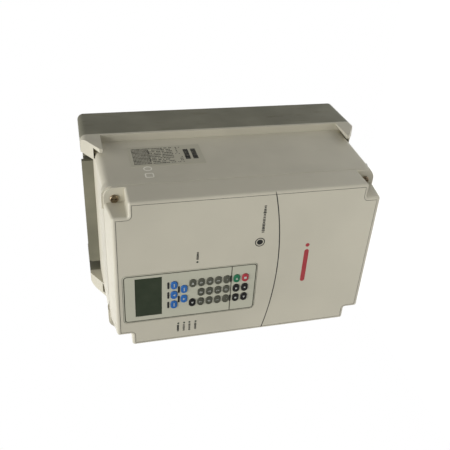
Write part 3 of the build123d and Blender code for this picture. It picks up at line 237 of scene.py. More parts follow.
def surface(name, colour, rough, metallic=0.0, ior=1.5, grain=1.0, grain_up=0.1, drift=60.0, drift_by=0.06,
            worn=None, worn_by=0.5, dust=0.12, scuffs=0.25, painted_shade=0.0, **sockets):
    """Material of one finish. grain and drift are millimetres: the size of the surface's fine texture and
    of its slow change of colour. worn is the colour that shows along rubbed edges, dust the share of pale
    dust, scuffs the share of handling marks in the gloss, the share after it paints shade dark into
    grooves and corners, and sockets go on the shader as they are."""
    material = bpy.data.materials.new(name)
    material.use_nodes = True
    material.diffuse_color = linear(colour)
    tree = material.node_tree
    tree.nodes.clear()
    place = put(tree, "ShaderNodeTexCoord").outputs["Object"]
    slow = put(tree, "ShaderNodeTexNoise", {"Vector": place, "Scale": 1000 / drift,
                                            "Detail": 3.0}).outputs["Fac"]
    fine = put(tree, "ShaderNodeTexNoise", {"Vector": place, "Scale": 1000 / grain,
                                            "Detail": 2.0}).outputs["Fac"]
    stretch = put(tree, "ShaderNodeMapping", {"Vector": place, "Scale": SCUFF_SCALE,
                                              "Rotation": SCUFF_TURN}).outputs["Vector"]
    streak = put(tree, "ShaderNodeTexNoise", {"Vector": stretch, "Scale": 1.0, "Detail": 4.0}).outputs["Fac"]
    marks = put(tree, "ShaderNodeMapRange", {"Value": streak, "From Min": 0.58,
                                             "From Max": 0.72}).outputs["Result"]
    base = linear(colour)
    dark = tuple(c * (1 - drift_by * 1.6) for c in base[:3]) + (1.0,)
    light = tuple(min(1.0, c * (1 + drift_by)) for c in base[:3]) + (1.0,)
    ramp = put(tree, "ShaderNodeValToRGB", {"Fac": slow})
    ramp.color_ramp.elements[0].position = 0.32
    ramp.color_ramp.elements[0].color = dark
    ramp.color_ramp.elements[1].position = 0.68
    ramp.color_ramp.elements[1].color = light
    tint = ramp.outputs["Color"]
    if dust:
        share = put(tree, "ShaderNodeMapRange", {"Value": slow, "From Min": 0.45, "From Max": 0.75,
                                                 "To Max": dust})
        tint = mixed(tree, share.outputs["Result"], tint, linear(DUST))
    if worn:
        tint = mixed(tree, edge_share(tree, fine, worn_by), tint, linear(worn))
    # painted shade: grooves and corners darkened where little open sky reaches them
    if painted_shade:
        tint = mixed(tree, crevice_share(tree, painted_shade), tint, linear(CREVICE_SHADE_COLOUR))
    gloss = put(tree, "ShaderNodeMapRange", {"Value": marks, "To Min": rough,
                                             "To Max": min(1.0, rough + scuffs)})
    bump = put(tree, "ShaderNodeBump", {"Height": fine, "Strength": grain_up, "Distance": BUMP_DEPTH})
    links = {"Base Color": tint, "Roughness": gloss.outputs["Result"], "Normal": bump.outputs["Normal"],
             "Metallic": metallic, **sockets}
    if not metallic:
        links["IOR"] = ior
    shader = put(tree, "ShaderNodeBsdfPrincipled", links)
    put(tree, "ShaderNodeOutputMaterial", {"Surface": shader.outputs["BSDF"]})
    return material


def mixed(tree, share, under, over):
    """Colour over laid on colour under by share."""
    node = put(tree, "ShaderNodeMix", data_type="RGBA")
    for at, value in ((0, share), (6, under), (7, over)):
        if isinstance(value, bpy.types.NodeSocket):
            tree.links.new(value, node.inputs[at])
        else:
            node.inputs[at].default_value = value
    return node.outputs[2]


def edge_share(tree, fine, most):
    """Share of wear: high on sharp edges, broken up by the fine noise."""
    soft = put(tree, "ShaderNodeBevel", {"Radius": WEAR_RADIUS}, samples=4).outputs["Normal"]
    true = put(tree, "ShaderNodeNewGeometry").outputs["Normal"]
    facing = put(tree, "ShaderNodeVectorMath", {0: soft, 1: true}, operation="DOT_PRODUCT").outputs["Value"]
    edge = put(tree, "ShaderNodeMapRange", {"Value": facing, "From Min": 0.995, "From Max": 0.9})
    broken = put(tree, "ShaderNodeMapRange", {"Value": fine, "From Min": 0.35, "From Max": 0.65,
                                              "To Max": most})
    return put(tree, "ShaderNodeMath", {0: edge.outputs["Result"], 1: broken.outputs["Result"]},
               operation="MULTIPLY").outputs["Value"]


def crevice_share(tree, most):
    """Share of painted shade: nothing on open faces, most at the bottom of a narrow groove, where shade
    falls.
    """
    open_sky = put(tree, "ShaderNodeAmbientOcclusion", {"Distance": GROOVE_REACH}, samples=8, only_local=True)
    return put(tree, "ShaderNodeMapRange", {"Value": open_sky.outputs["AO"], "From Min": 0.55,
                                            "From Max": 0.2, "To Max": most}).outputs["Result"]


def make_materials(colours):
    """Every finish on the drive, by the record's slot or by the piece's own name."""
    rubber = {"grain": 0.5, "grain_up": 0.12, "ior": 1.43}
    ink = {"grain": 0.6, "grain_up": 0.05}
    coat = {"worn": "#A3A192", "worn_by": 0.5, "dust": 0.12}
    return {
        # moulded ABS with a spark-eroded grain: an even, matt cream with its edges rubbed a little paler, and
        # painted shade dark in its grooves and corners
        "cover_plastic": surface("moulded_abs_cover", colours.casing, 0.46, grain=0.7, grain_up=0.16,
                                 drift=90, drift_by=0.035, worn="#DEDACB", worn_by=0.45, dust=0.06,
                                 painted_shade=0.95, ior=1.54),
        # the same moulded ABS, more handled: a touch rougher and more uneven than the cover, with painted
        # shade in its grooves
        "housing_plastic": surface("moulded_abs_housing", colours.casing, 0.5, grain=0.8, grain_up=0.2,
                                   drift=70, drift_by=0.05, worn="#E0DCCD", worn_by=0.5, dust=0.08,
                                   painted_shade=0.7, ior=1.54),
        # polyester powder coat on die-cast aluminium: fine orange peel, rubbed paler along the edges, with
        # painted shade in its grooves
        "sink_paint": surface("powder_coated_aluminium", colours.sink, 0.42, grain=1.6, grain_up=0.35,
                              drift=55, drift_by=0.08, painted_shade=0.5, ior=1.5, **coat),
        # printed polyester film: finer and more even than the plastic round it, with painted shade dark at
        # its outline
        "keypad_plastic": surface("velvet_polyester_film", colours.panel, 0.5, grain=0.5, grain_up=0.1,
                                  drift=80, drift_by=0.025, dust=0.05, painted_shade=0.95, ior=1.57),
        # moulded silicone rubber keys: strong plain colours with a soft, wide sheen
        "key_blue": surface("silicone_key_blue", colours.menu_keys, 0.48, dust=0.04, **rubber),
        "key_grey": surface("silicone_key_grey", colours.digit_keys, 0.5, dust=0.05, **rubber),
        "key_black": surface("silicone_key_black", "#151514", 0.46, dust=0.04, **rubber),
        "key_green": surface("silicone_key_green", colours.start_key, 0.48, dust=0.04, **rubber),
        "key_red": surface("silicone_key_red", colours.stop_key, 0.48, dust=0.04, **rubber),
        # cast acrylic over an unlit liquid crystal: a smooth, dark grey-green pane with clear highlights
        "lcd_glass": surface("acrylic_display_window", "#333C2C", 0.12, grain=4, grain_up=0.02, drift=25,
                             drift_by=0.03, ior=1.49, scuffs=0.12, dust=0.02),
        # tinned steel: a grey, slightly blurred mirror
        "lcd_frame": surface("tinned_steel_display_frame", "#8B8D8C", 0.35, metallic=1.0, grain=1.2),
        # screen-printed inks: flat, nearly textureless films in one colour each
        "ink": surface("screen_ink_black", colours.ink, 0.55, dust=0.02, **ink),
        "accent": surface("screen_ink_red", colours.accent, 0.5, dust=0.02, **ink),
        # olive ink used as painted shadow: the dark outline round the keypad panel and the line across it
        "line_ink": surface("painted_shadow_ink_olive", "#4A483C", 0.5, dust=0.02, **ink),
        "pale_ink": surface("screen_ink_white", "#B9BBB4", 0.5, dust=0.0, **ink),
        "mark_ink": surface("screen_ink_cream", "#F2EFE2", 0.5, dust=0.0, **ink),
        "grey_ink": surface("screen_ink_grey", "#3E3D37", 0.5, dust=0.0, **ink),
        # steel screws blackened in oil and rubbed: a mottled, brownish metal
        "bronze_steel": surface("oil_blackened_steel", "#A09078", 0.3, metallic=1.0, grain=0.5, grain_up=0.2,
                                drift=3, drift_by=0.3, dust=0.05),
        # zinc plate on steel: a bright, faintly cloudy metal
        "zinc_steel": surface("zinc_plated_steel", "#B9BBB8", 0.3, metallic=1.0, grain=0.5, grain_up=0.12,
                              drift=4, drift_by=0.12, dust=0.04),
        # moulded nitrile rubber: near black, with no highlight to speak of
        "gasket_rubber": surface("nitrile_rubber", "#1A1A1A", 0.75, grain=0.8, grain_up=0.3, ior=1.52),
        # glass-filled nylon, moulded: black with a fine, dry roughness
        "module_black": surface("glass_filled_nylon_black", "#202224", 0.5, grain=0.5, grain_up=0.2,
                                ior=1.53),
        # glass-fibre circuit board under green solder mask: glossy, light and dark over its copper
        "board_green": surface("solder_mask_green", "#1F5A38", 0.3, grain=1.4, grain_up=0.12, drift=14,
                               drift_by=0.22, ior=1.55, dust=0.06),
        # PVC sleeve shrunk on to a can: a glossy dark blue with slight ripples
        "capacitor_sleeve": surface("shrunk_pvc_sleeve", "#20243A", 0.28, grain=2.5, grain_up=0.1, ior=1.54),
        # moulded nylon: plain, waxy colours
        "terminal_grey": surface("nylon_terminal_grey", "#77797A", 0.5, grain=0.6, grain_up=0.15, ior=1.53),
        "terminal_green": surface("nylon_terminal_green", "#2E8B57", 0.45, grain=0.6, grain_up=0.15,
                                  ior=1.53),
        "carrier_grey": surface("moulded_nylon_carrier", "#55585A", 0.52, grain=0.7, grain_up=0.18, ior=1.53),
        "plug_grey": surface("nylon_plug_grey", "#8B8B84", 0.55, grain=0.6, grain_up=0.15, ior=1.53),
        # the sink's powder coat on a folded steel plate, a little finer in its orange peel, with painted
        # shade in its grooves
        "entry_plate_paint": surface("powder_coated_steel", colours.sink, 0.44, grain=1.4, grain_up=0.3,
                                     drift=40, drift_by=0.07, painted_shade=0.4, **coat),
        # glass-filled PBT, moulded: black under the dust that a fan draws in
        "fan_black": surface("glass_filled_pbt_black", "#191A1B", 0.5, grain=0.7, grain_up=0.15, ior=1.55,
                             dust=0.25),
        # nickel plate on drawn wire: a warm, bright line of highlight
        "guard_wire": surface("nickel_plated_wire", "#A9A9A4", 0.28, metallic=1.0, grain=0.8, drift=8,
                              drift_by=0.1),
        # turned brass: yellow metal with slightly darker patches
        "brass_stud": surface("brass_stud", "#B79A58", 0.3, metallic=1.0, grain=0.5, drift=5, drift_by=0.15),
        # matt polyester label: greyer than the casing and a touch smoother
        "label_film": surface("matt_polyester_label", "#BDB9A6", 0.42, grain=0.6, grain_up=0.06, ior=1.57,
                              dust=0.05),
        # moulded polycarbonate lamps, unlit: small, dark and glossy
        "lamp_lens": surface("polycarbonate_lamp", "#4A5347", 0.15, grain=2, grain_up=0.02, ior=1.58,
                             dust=0.0),
    }


# ---- Mesh helpers ----------------------------------------------------------------------------------
def place_piece(name, mesh, material, body):
    """Link a finished mesh as a piece that rides on a body."""
    piece = bpy.data.objects.new(name, mesh)
    bpy.context.scene.collection.objects.link(piece)
    mesh.materials.clear()
    mesh.materials.append(material)
    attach(piece, body)
    return piece


def softened(node, material, edge):
    """A CAD piece with its sharp edges eased: a merged copy that stands for the node."""
    source = frame["nodes"][node]
    mesh = source.data.copy()
    work = bmesh.new()
    work.from_mesh(mesh)
    bmesh.ops.remove_doubles(work, verts=work.verts, dist=MERGE_WITHIN)
    bmesh.ops.dissolve_limit(work, angle_limit=FLAT_WITHIN, verts=work.verts, edges=work.edges)
    work.to_mesh(mesh)
    work.free()
    for attribute in [a for a in mesh.attributes if a.name == "custom_normal"]:
        mesh.attributes.remove(attribute)
    piece = place_piece(f"{node}_finished", mesh, material, source["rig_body"])
    mesh.shade_smooth()
    if edge:
        bevel = piece.modifiers.new("eased_edges", "BEVEL")
        bevel.width = edge
        bevel.segments = 2
        bevel.limit_method = "ANGLE"
        bevel.angle_limit = SHARP_FROM
        bevel.use_clamp_overlap = True
        bevel.harden_normals = True
    else:
        mesh.set_sharp_from_angle(angle=SHARP_FROM)
    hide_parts(node)
    return piece


def box_mesh(name, boxes):
    """Plain blocks given by their low and high corners, in one mesh."""
    mesh = bpy.data.meshes.new(name)
    work = bmesh.new()
    for low, high in boxes:
        size = Vector(high) - Vector(low)
        middle = (Vector(high) + Vector(low)) / 2
        at = Matrix.Translation(middle) @ Matrix.Diagonal((*size, 1.0))
        bmesh.ops.create_cube(work, size=1.0, matrix=at)
    work.to_mesh(mesh)
    work.free()
    return mesh


def prism_mesh(name, outline, thick, at):
    """Flat outline made a thin solid; drawn in X and Y, then set in place by a matrix."""
    mesh = bpy.data.meshes.new(name)
    work = bmesh.new()
    low = [work.verts.new((x, y, 0.0)) for x, y in outline]
    high = [work.verts.new((x, y, thick)) for x, y in outline]
    work.faces.new(low[::-1])
    work.faces.new(high)
    count = len(outline)
    for i in range(count):
        j = (i + 1) % count
        work.faces.new((low[i], low[j], high[j], high[i]))
    bmesh.ops.recalc_face_normals(work, faces=work.faces)
    work.transform(at)
    work.to_mesh(mesh)
    work.free()
    return mesh


def joined(name, meshes):
    """Several meshes as one."""
    whole = bpy.data.meshes.new(name)
    work = bmesh.new()
    for mesh in meshes:
        work.from_mesh(mesh)
        bpy.data.meshes.remove(mesh)
    work.to_mesh(whole)
    work.free()
    return whole


def text_mesh(name, words, height, thick, at):
    """Plain sans-serif characters as a thin solid, centred on the matrix's origin."""
    curve = bpy.data.curves.new(name, "FONT")
    curve.body = words
    curve.size = height * CAPITAL_TO_SIZE
    curve.align_x = "CENTER"
    curve.align_y = "CENTER"
    curve.extrude = thick / 2
    curve.resolution_u = 3
    holder = bpy.data.objects.new(name, curve)
    bpy.context.scene.collection.objects.link(holder)
    graph = bpy.context.evaluated_depsgraph_get()
    mesh = bpy.data.meshes.new_from_object(holder.evaluated_get(graph))
    bpy.data.objects.remove(holder)
    mesh.transform(at @ Matrix.Translation((0, 0, thick / 2)))
    return mesh


def oval(width, height, steps=10):
    """Outline of a bar with fully rounded ends."""
    r = min(width, height) / 2
    reach = (width - 2 * r) / 2
    points = []
    for side in (1, -1):
        for i in range(steps + 1):
            turn = -pi / 2 + pi * i / steps
            points.append((side * (reach + r * cos(turn)), side * r * sin(turn)))
    return points


def rounded_outline(half_w, half_h, r, steps=8):
    """Outline of a rounded rectangle about its own middle."""
    points = []
    for i, (sx, sy) in enumerate(((1, 1), (-1, 1), (-1, -1), (1, -1))):
        for k in range(steps + 1):
            turn = pi / 2 * (i + k / steps)
            points.append((sx * (half_w - r) + r * cos(turn), sy * (half_h - r) + r * sin(turn)))
    return points


def ring_mesh(name, outer, inner, thick, at):
    """Flat ring between two outlines of equally many points, made a thin solid."""
    mesh = bpy.data.meshes.new(name)
    work = bmesh.new()
    rings = [[work.verts.new((x, y, z)) for x, y in outline]
             for z in (0.0, thick) for outline in (outer, inner)]
    count = len(outer)
    for i in range(count):
        j = (i + 1) % count
        for a, b in ((0, 1), (1, 3), (3, 2), (2, 0)):
            work.faces.new((rings[a][i], rings[b][i], rings[b][j], rings[a][j]))
    bmesh.ops.recalc_face_normals(work, faces=work.faces)
    work.transform(at)
    work.to_mesh(mesh)
    work.free()
    return mesh


def middle_of(node):
    """Middle of a CAD node's box."""
    low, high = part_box(node)
    return (low + high) / 2


def on_front(x, depth, z):
    """Place on a face that looks out of the wall, X to the right and Y up."""
    return Matrix.Translation((x, -depth, z)) @ FRONT


def on_key(node):
    """Place in the middle of a key's front."""
    low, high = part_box(node)
    return on_front((low.x + high.x) / 2, -low.y, (low.z + high.z) / 2)


# ---- Geometry Nodes --------------------------------------------------------------------------------
def new_tree(name, sockets):
    """Node tree with named inputs, as (name, socket type, default)."""
    tree = bpy.data.node_groups.new(name, "GeometryNodeTree")
    tree.interface.new_socket("Geometry", in_out="OUTPUT", socket_type="NodeSocketGeometry")
    for label, kind, value in sockets:
        socket = tree.interface.new_socket(label, in_out="INPUT", socket_type=kind)
        if value is not None:
            socket.default_value = value
    return tree, put(tree, "NodeGroupInput").outputs


def block_field_tree():
    """Rows of blocks of uneven length, such as lines of small print or parts on a board."""
    tree, given = new_tree("block_field", (
        ("Width", "NodeSocketFloat", 0.04), ("Height", "NodeSocketFloat", 0.02),
        ("Columns", "NodeSocketInt", 6), ("Rows", "NodeSocketInt", 8),
        ("Shortest", "NodeSocketVector", (0.002, 0.001, 0.0001)),
        ("Longest", "NodeSocketVector", (0.004, 0.001, 0.0001)),
        ("Keep", "NodeSocketFloat", 0.9), ("Seed", "NodeSocketInt", 1),
        ("Finish", "NodeSocketMaterial", None),
    ))
    grid = put(tree, "GeometryNodeMeshGrid", {"Size X": given["Width"], "Size Y": given["Height"],
                                              "Vertices X": given["Columns"], "Vertices Y": given["Rows"]})
    chance = put(tree, "FunctionNodeRandomValue", {"Probability": given["Keep"], "Seed": given["Seed"]},
                 data_type="BOOLEAN")
    length = put(tree, "FunctionNodeRandomValue", {"Min": given["Shortest"], "Max": given["Longest"],
                                                   "Seed": given["Seed"]}, data_type="FLOAT_VECTOR")
    cube = put(tree, "GeometryNodeMeshCube", {"Size": (1.0, 1.0, 1.0)})
    lifted = put(tree, "GeometryNodeTransform", {"Geometry": cube.outputs["Mesh"],
                                                 "Translation": (0, 0, 0.5)})
    many = put(tree, "GeometryNodeInstanceOnPoints", {
        "Points": grid.outputs["Mesh"], "Selection": chance.outputs[3],
        "Instance": lifted.outputs["Geometry"], "Scale": length.outputs[0]})
    return close_tree(tree, many.outputs["Instances"], given["Finish"])


def stud_field_tree():
    """Rows of equal round studs, such as solder pins."""
    tree, given = new_tree("stud_field", (
        ("Width", "NodeSocketFloat", 0.04), ("Height", "NodeSocketFloat", 0.02),
        ("Columns", "NodeSocketInt", 6), ("Rows", "NodeSocketInt", 2),
        ("Radius", "NodeSocketFloat", 0.0005), ("Rise", "NodeSocketFloat", 0.001),
        ("Finish", "NodeSocketMaterial", None),
    ))
    grid = put(tree, "GeometryNodeMeshGrid", {"Size X": given["Width"], "Size Y": given["Height"],
                                              "Vertices X": given["Columns"], "Vertices Y": given["Rows"]})
    stud = put(tree, "GeometryNodeMeshCylinder", {"Vertices": 10, "Radius": given["Radius"],
                                                  "Depth": given["Rise"]})
    many = put(tree, "GeometryNodeInstanceOnPoints", {"Points": grid.outputs["Mesh"],
                                                      "Instance": stud.outputs["Mesh"]})
    return close_tree(tree, many.outputs["Instances"], given["Finish"])


def close_tree(tree, geometry, finish):
    """End a tree in real geometry with its material."""
    real = put(tree, "GeometryNodeRealizeInstances", {"Geometry": geometry})
    done = put(tree, "GeometryNodeSetMaterial", {"Geometry": real.outputs["Geometry"], "Material": finish})
    put(tree, "NodeGroupOutput", {"Geometry": done.outputs["Geometry"]})
    return tree


def grown(name, tree, values, at):
    """Mesh that a tree makes with these inputs, set in place by a matrix."""
    holder = bpy.data.objects.new(name, bpy.data.meshes.new(name))
    modifier = holder.modifiers.new("grow", "NODES")
    modifier.node_group = tree
    for item in tree.interface.items_tree:
        if item.in_out == "INPUT" and item.name in values:
            modifier[item.identifier] = values[item.name]
    bpy.context.scene.collection.objects.link(holder)
    graph = bpy.context.evaluated_depsgraph_get()
    mesh = bpy.data.meshes.new_from_object(holder.evaluated_get(graph))
    holder.modifiers.remove(modifier)
    bpy.data.objects.remove(holder)
    mesh.transform(at)
    return mesh


# ---- Operators -------------------------------------------------------------------------------------
FINISH = {}
TREES = {}


def slot_of(node):
    """The record's material slot of a CAD node."""
    for part in frame["record"]["subparts"]:
        if part["node"] == node:
            return part["material_slot"]
    raise RuntimeError(f"the record gives {node} no slot")


class DRIVE_OT_casings(bpy.types.Operator):
    """Heat sink, rear housing and front cover with eased edges"""
    bl_idname = "drive.casings"
    bl_label = "Casings"

    def execute(self, context):
        edge = context.scene.drive_sizes.edge
        for node in ("heat_sink", "rear_housing", "front_cover"):
            softened(node, FINISH[slot_of(node)], edge)
        return {"FINISHED"}


class DRIVE_OT_keypad(bpy.types.Operator):
    """Keypad panel, its keys, the display and the lamps"""
    bl_idname = "drive.keypad"
    bl_label = "Keypad"

    def execute(self, context):
        edge = context.scene.drive_sizes.small_edge
        keys = [n for n in frame["nodes"] if n.startswith("key_") and n != "key_switches"]
        for node in ["keypad_bezel", "lcd_window", "status_lamps", *sorted(keys)]:
            softened(node, FINISH[slot_of(node)], edge)
        return {"FINISHED"}


class DRIVE_OT_inner_parts(bpy.types.Operator):
    """Boards, terminals, capacitors, fan and fasteners"""
    bl_idname = "drive.inner_parts"
    bl_label = "Inner parts"

    def execute(self, context):
        edge = context.scene.drive_sizes.small_edge
        eased = ("power_terminal_block", "control_terminal_block", "power_module", "current_sensors",
                 "cable_entry_plate", "board_carrier", "control_connector", "cover_connector", "fan_frame",
                 "fan_rotor", "cable_entry_plugs", "cover_screws", "housing_screws", "ground_studs")
        for node, thing in frame["nodes"].items():
            if thing.hide_render:
                continue
            if node in eased:
                softened(node, FINISH[slot_of(node)], edge)
            elif node in ("bus_capacitors", "board_standoffs", "pan_head_screws", "fan_screws", "fan_guard"):
                softened(node, FINISH[slot_of(node)], 0)
            else:
                thing.data.materials.clear()
                thing.data.materials.append(FINISH[slot_of(node)])
        return {"FINISHED"}


class DRIVE_OT_board_details(bpy.types.Operator):
    """Small parts and solder on the circuit boards"""
    bl_idname = "drive.board_details"
    bl_label = "Board details"

    def execute(self, context):
        seed = context.scene.drive_sizes.seed
        low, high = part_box("control_board")
        face = -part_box("control_terminal_block")[1].y
        span = high - low
        chips = grown("chips", TREES["blocks"], {
            "Width": span.x * 0.8, "Height": span.z * 0.3, "Columns": 22, "Rows": 8,
            "Shortest": (1.0 * MM, 0.8 * MM, 0.6 * MM), "Longest": (3.2 * MM, 2.2 * MM, 1.4 * MM),
            "Keep": 0.55, "Seed": seed, "Finish": FINISH["module_black"],
        }, on_front((low.x + high.x) / 2, face, low.z + span.z * 0.82))
        place_piece("control_chips", chips, FINISH["module_black"], "chassis")
        low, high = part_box("power_board")
        span = high - low
        solder = grown("solder", TREES["studs"], {
            "Width": span.x * 0.86, "Height": 6 * MM, "Columns": 30, "Rows": 3,
            "Radius": 0.7 * MM, "Rise": 1.0 * MM, "Finish": FINISH["zinc_steel"],
        }, on_front(0, -low.y, low.z + span.z * 0.4))
        place_piece("power_board_solder", solder, FINISH["zinc_steel"], "chassis")
        return {"FINISHED"}


class DRIVE_OT_key_legends(bpy.types.Operator):
    """Digits and plain signs on the keys, each riding on its key"""
    bl_idname = "drive.key_legends"
    bl_label = "Key legends"

    def execute(self, context):
        sizes = context.scene.drive_sizes
        words = {f"key_digit_{i}": str(i) for i in range(10)}
        words.update({"key_point": ".", "key_sign": "-"})
        for node, word in words.items():
            mesh = text_mesh(f"{node}_legend", word, sizes.legend, sizes.ink_thick, on_key(node))
            place_piece(f"{node}_legend", mesh, FINISH["pale_ink"], frame["nodes"][node]["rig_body"])
        arrows = {"key_up": 90, "key_down": -90, "key_start": 0, "key_help": 180, "key_alternate": 0,
                  "key_reverse": 180}
        for node, turn in arrows.items():
            self.mark(node, [(-1.3, -1.5), (1.6, 0.0), (-1.3, 1.5)], turn, sizes)
        squares = {"key_stop": 1.5, "key_clear": 0.9, "key_jog": 1.1, "key_local": 1.1}
        for node, half in squares.items():
            self.mark(node, [(-half, -half), (half, -half), (half, half), (-half, half)], 0, sizes)
        for node in ("key_escape", "key_select", "key_enter"):
            self.mark(node, [(-2.4, -0.5), (2.4, -0.5), (2.4, 0.5), (-2.4, 0.5)], 0, sizes)
        return {"FINISHED"}

    def mark(self, node, outline, turn, sizes):
        """One flat sign in the middle of a key, its outline in millimetres."""
        at = on_key(node) @ Matrix.Rotation(radians(turn), 4, "Z")
        points = [(x * MM, y * MM) for x, y in outline]
        mesh = prism_mesh(f"{node}_legend", points, sizes.ink_thick, at)
        place_piece(f"{node}_legend", mesh, FINISH["pale_ink"], frame["nodes"][node]["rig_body"])


class DRIVE_OT_panel_print(bpy.types.Operator):
    """Black bars above keys, and painted shadow: a dark outline just inside the panel's edge and a line over
    the groove across it
    """
    bl_idname = "drive.panel_print"
    bl_label = "Panel print"

    def execute(self, context):
        sizes = context.scene.drive_sizes
        face = -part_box("front_cover")[0].y
        bars = []
        for nodes, rise in BAR_ROWS:
            for node in nodes:
                at = middle_of(node)
                outline = oval(sizes.bar_length, sizes.bar_height, 4)
                bars.append(prism_mesh("bar", outline, sizes.ink_thick, on_front(at.x, face, at.z + rise)))
        place_piece("panel_bars", joined("panel_bars", bars), FINISH["ink"], "cover")
        # painted shadow of the gap round the panel and of the groove across it, drawn as dark lines
        low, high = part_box("keypad_bezel")
        middle = (low + high) / 2
        inset = PANEL_FLANGE + PANEL_LINE_INSET
        half_w = (high.x - low.x) / 2 - inset
        half_h = (high.z - low.z) / 2 - inset
        at = on_front(middle.x, face, middle.z)
        outer = rounded_outline(half_w, half_h, PANEL_CORNER)
        inner = rounded_outline(half_w - PANEL_LINE, half_h - PANEL_LINE, PANEL_CORNER - PANEL_LINE)
        shadow_outline = ring_mesh("shadow_outline", outer, inner, sizes.ink_thick, at)
        place_piece("panel_shadow_outline", shadow_outline, FINISH["line_ink"], "cover")
        shadow_line = box_mesh("panel_shadow_line", [
            ((middle.x - half_w, -face - sizes.ink_thick, DIVIDER_HEIGHT - PANEL_LINE / 2),
             (middle.x + half_w, -face, DIVIDER_HEIGHT + PANEL_LINE / 2))])
        place_piece("panel_shadow_line", shadow_line, FINISH["line_ink"], "cover")
        return {"FINISHED"}


class DRIVE_OT_cover_print(bpy.types.Operator):
    """Plain badge, accent, lines of generic print and a dark strip of painted shadow in the seam on the
    cover's face
    """
    bl_idname = "drive.cover_print"
    bl_label = "Cover print"

    def execute(self, context):
        sizes = context.scene.drive_sizes
        thick = sizes.ink_thick
        face = -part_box("front_cover")[0].y

        def at(place):
            return on_front(place[0], face, place[1])

        outer, inner = (rounded_outline(r, r, r - ROUND_TRIM)
                        for r in (BADGE_RING_R, BADGE_RING_R - BADGE_RING_LINE))
        dark = [
            prism_mesh("disc", oval(BADGE_WIDTH, BADGE_WIDTH - ROUND_TRIM, 16), thick, at(BADGE_AT)),
            ring_mesh("ring", outer, inner, thick, at(BADGE_AT)),
            self.dashes(BADGE_TEXT_LENGTH, 17, 2.0 * MM, 3.6 * MM, sizes, at(BADGE_TEXT_AT)),
        ]
        place_piece("cover_badge", joined("cover_badge", dark), FINISH["ink"], "cover")
        red = [
            prism_mesh("bar", oval(*ACCENT_SIZE, 8), thick, at(ACCENT_AT)),
            prism_mesh("dot", oval(DOT_WIDTH, DOT_WIDTH - ROUND_TRIM, 12), thick, at(DOT_AT)),
        ]
        place_piece("cover_accent", joined("cover_accent", red), FINISH["accent"], "cover")
        words = [self.dashes(LAMP_TEXT_LENGTH, 6, 1.9 * MM, 2.7 * MM, sizes, at(place), step)
                 for step, place in enumerate(LAMP_TEXT_AT)]
        place_piece("lamp_print", joined("lamp_print", words), FINISH["ink"], "cover")
        # painted shadow in the arched seam: a dark strip in the near-black rubber finish
        place_piece("seam_painted_shadow", self.seam(face), FINISH["gasket_rubber"], "cover")
        return {"FINISHED"}

    def dashes(self, length, count, low, high, sizes, at, step=0):
        """One line of generic print: upright dashes of uneven height."""
        thick = sizes.ink_thick
        return grown("print", TREES["blocks"], {
            "Width": length, "Height": 0.0, "Columns": count, "Rows": 1,
            "Shortest": (0.9 * MM, low, thick), "Longest": (1.7 * MM, high, thick),
            "Keep": 1.0, "Seed": sizes.seed + step, "Finish": FINISH["ink"],
        }, at)

    def seam(self, face):
        """Dark strip of painted shadow that fills the arched seam across the cover."""
        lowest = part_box("keypad_bezel")[0].z + PANEL_FLANGE - SEAM_BELOW_PANEL
        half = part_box("front_cover")[1].x - SEAM_SIDE_GAP
        steps = 48
        outline = []
        for side in (1, -1):
            for i in range(steps + 1):
                x = side * half * (2 * i / steps - 1)
                rise = SEAM_RADIUS - (SEAM_RADIUS ** 2 - x ** 2) ** 0.5
                outline.append((x, lowest + rise - side * SEAM_WIDTH / 2))
        return prism_mesh("seam_painted_shadow", outline, SEAM_FILL, on_front(0, face - SEAM_FILL + SEAM_PROUD, 0))


class DRIVE_OT_label_print(bpy.types.Operator):
    """Generic lines and code blocks printed on the rating label, and two outlined marks beside it"""
    bl_idname = "drive.label_print"
    bl_label = "Label print"

    def execute(self, context):
        sizes = context.scene.drive_sizes
        low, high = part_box("rating_label")
        span = high - low
        lean = Matrix.Rotation(-(span.x - LABEL_LEAN) / span.y, 4, "Z")
        middle = (low + high) / 2
        face = Matrix.Translation((middle.x + LABEL_PROUD, middle.y, 0)) @ lean
        text = [self.lines(face, block, step, sizes) for step, block in enumerate(LABEL_TEXT)]
        place_piece("label_lines", joined("label_lines", text), FINISH["grey_ink"], "chassis")
        codes = [grown("bars", TREES["blocks"], {
            "Width": 0.0, "Height": CODE_LENGTH, "Columns": 1, "Rows": 26,
            "Shortest": (5.6 * MM, 0.5 * MM, sizes.ink_thick),
            "Longest": (6.2 * MM, 0.95 * MM, sizes.ink_thick),
            "Keep": 0.97, "Seed": sizes.seed + 3, "Finish": FINISH["ink"],
        }, face @ Matrix.Translation((0, 0, z)) @ DOWN_THE_SIDE) for z in CODE_HEIGHTS]
        place_piece("label_codes", joined("label_codes", codes), FINISH["ink"], "chassis")
        wall = face @ Matrix.Translation((-WALL_BEHIND_LABEL, 0, 0))
        marks = []
        for depth, r in SIDE_MARKS:
            at = wall @ Matrix.Translation((0, -depth - middle.y, SIDE_MARK_HEIGHT)) @ RIGHT_SIDE
            outer = rounded_outline(SIDE_MARK_HALF, SIDE_MARK_HALF, r)
            half = SIDE_MARK_HALF - SIDE_MARK_LINE
            inner = rounded_outline(half, half, r - SIDE_MARK_LINE)
            marks.append(ring_mesh("mark", outer, inner, sizes.ink_thick, at))
        place_piece("side_marks", joined("side_marks", marks), FINISH["mark_ink"], "chassis")
        return {"FINISHED"}

    def lines(self, face, block, step, sizes):
        """One block of printed words: rows of short dashes that run down the side."""
        z, columns, rows, keep, ink = block
        return grown("words", TREES["blocks"], {
            "Width": columns * WORD_PITCH, "Height": LABEL_TEXT_LENGTH, "Columns": columns, "Rows": rows,
            "Shortest": (1.0 * MM, 1.4 * MM, sizes.ink_thick),
            "Longest": (1.7 * MM, 2.1 * MM, sizes.ink_thick),
            "Keep": keep, "Seed": sizes.seed + step, "Finish": FINISH[ink],
        }, face @ Matrix.Translation((0, 0, z)) @ DOWN_THE_SIDE)


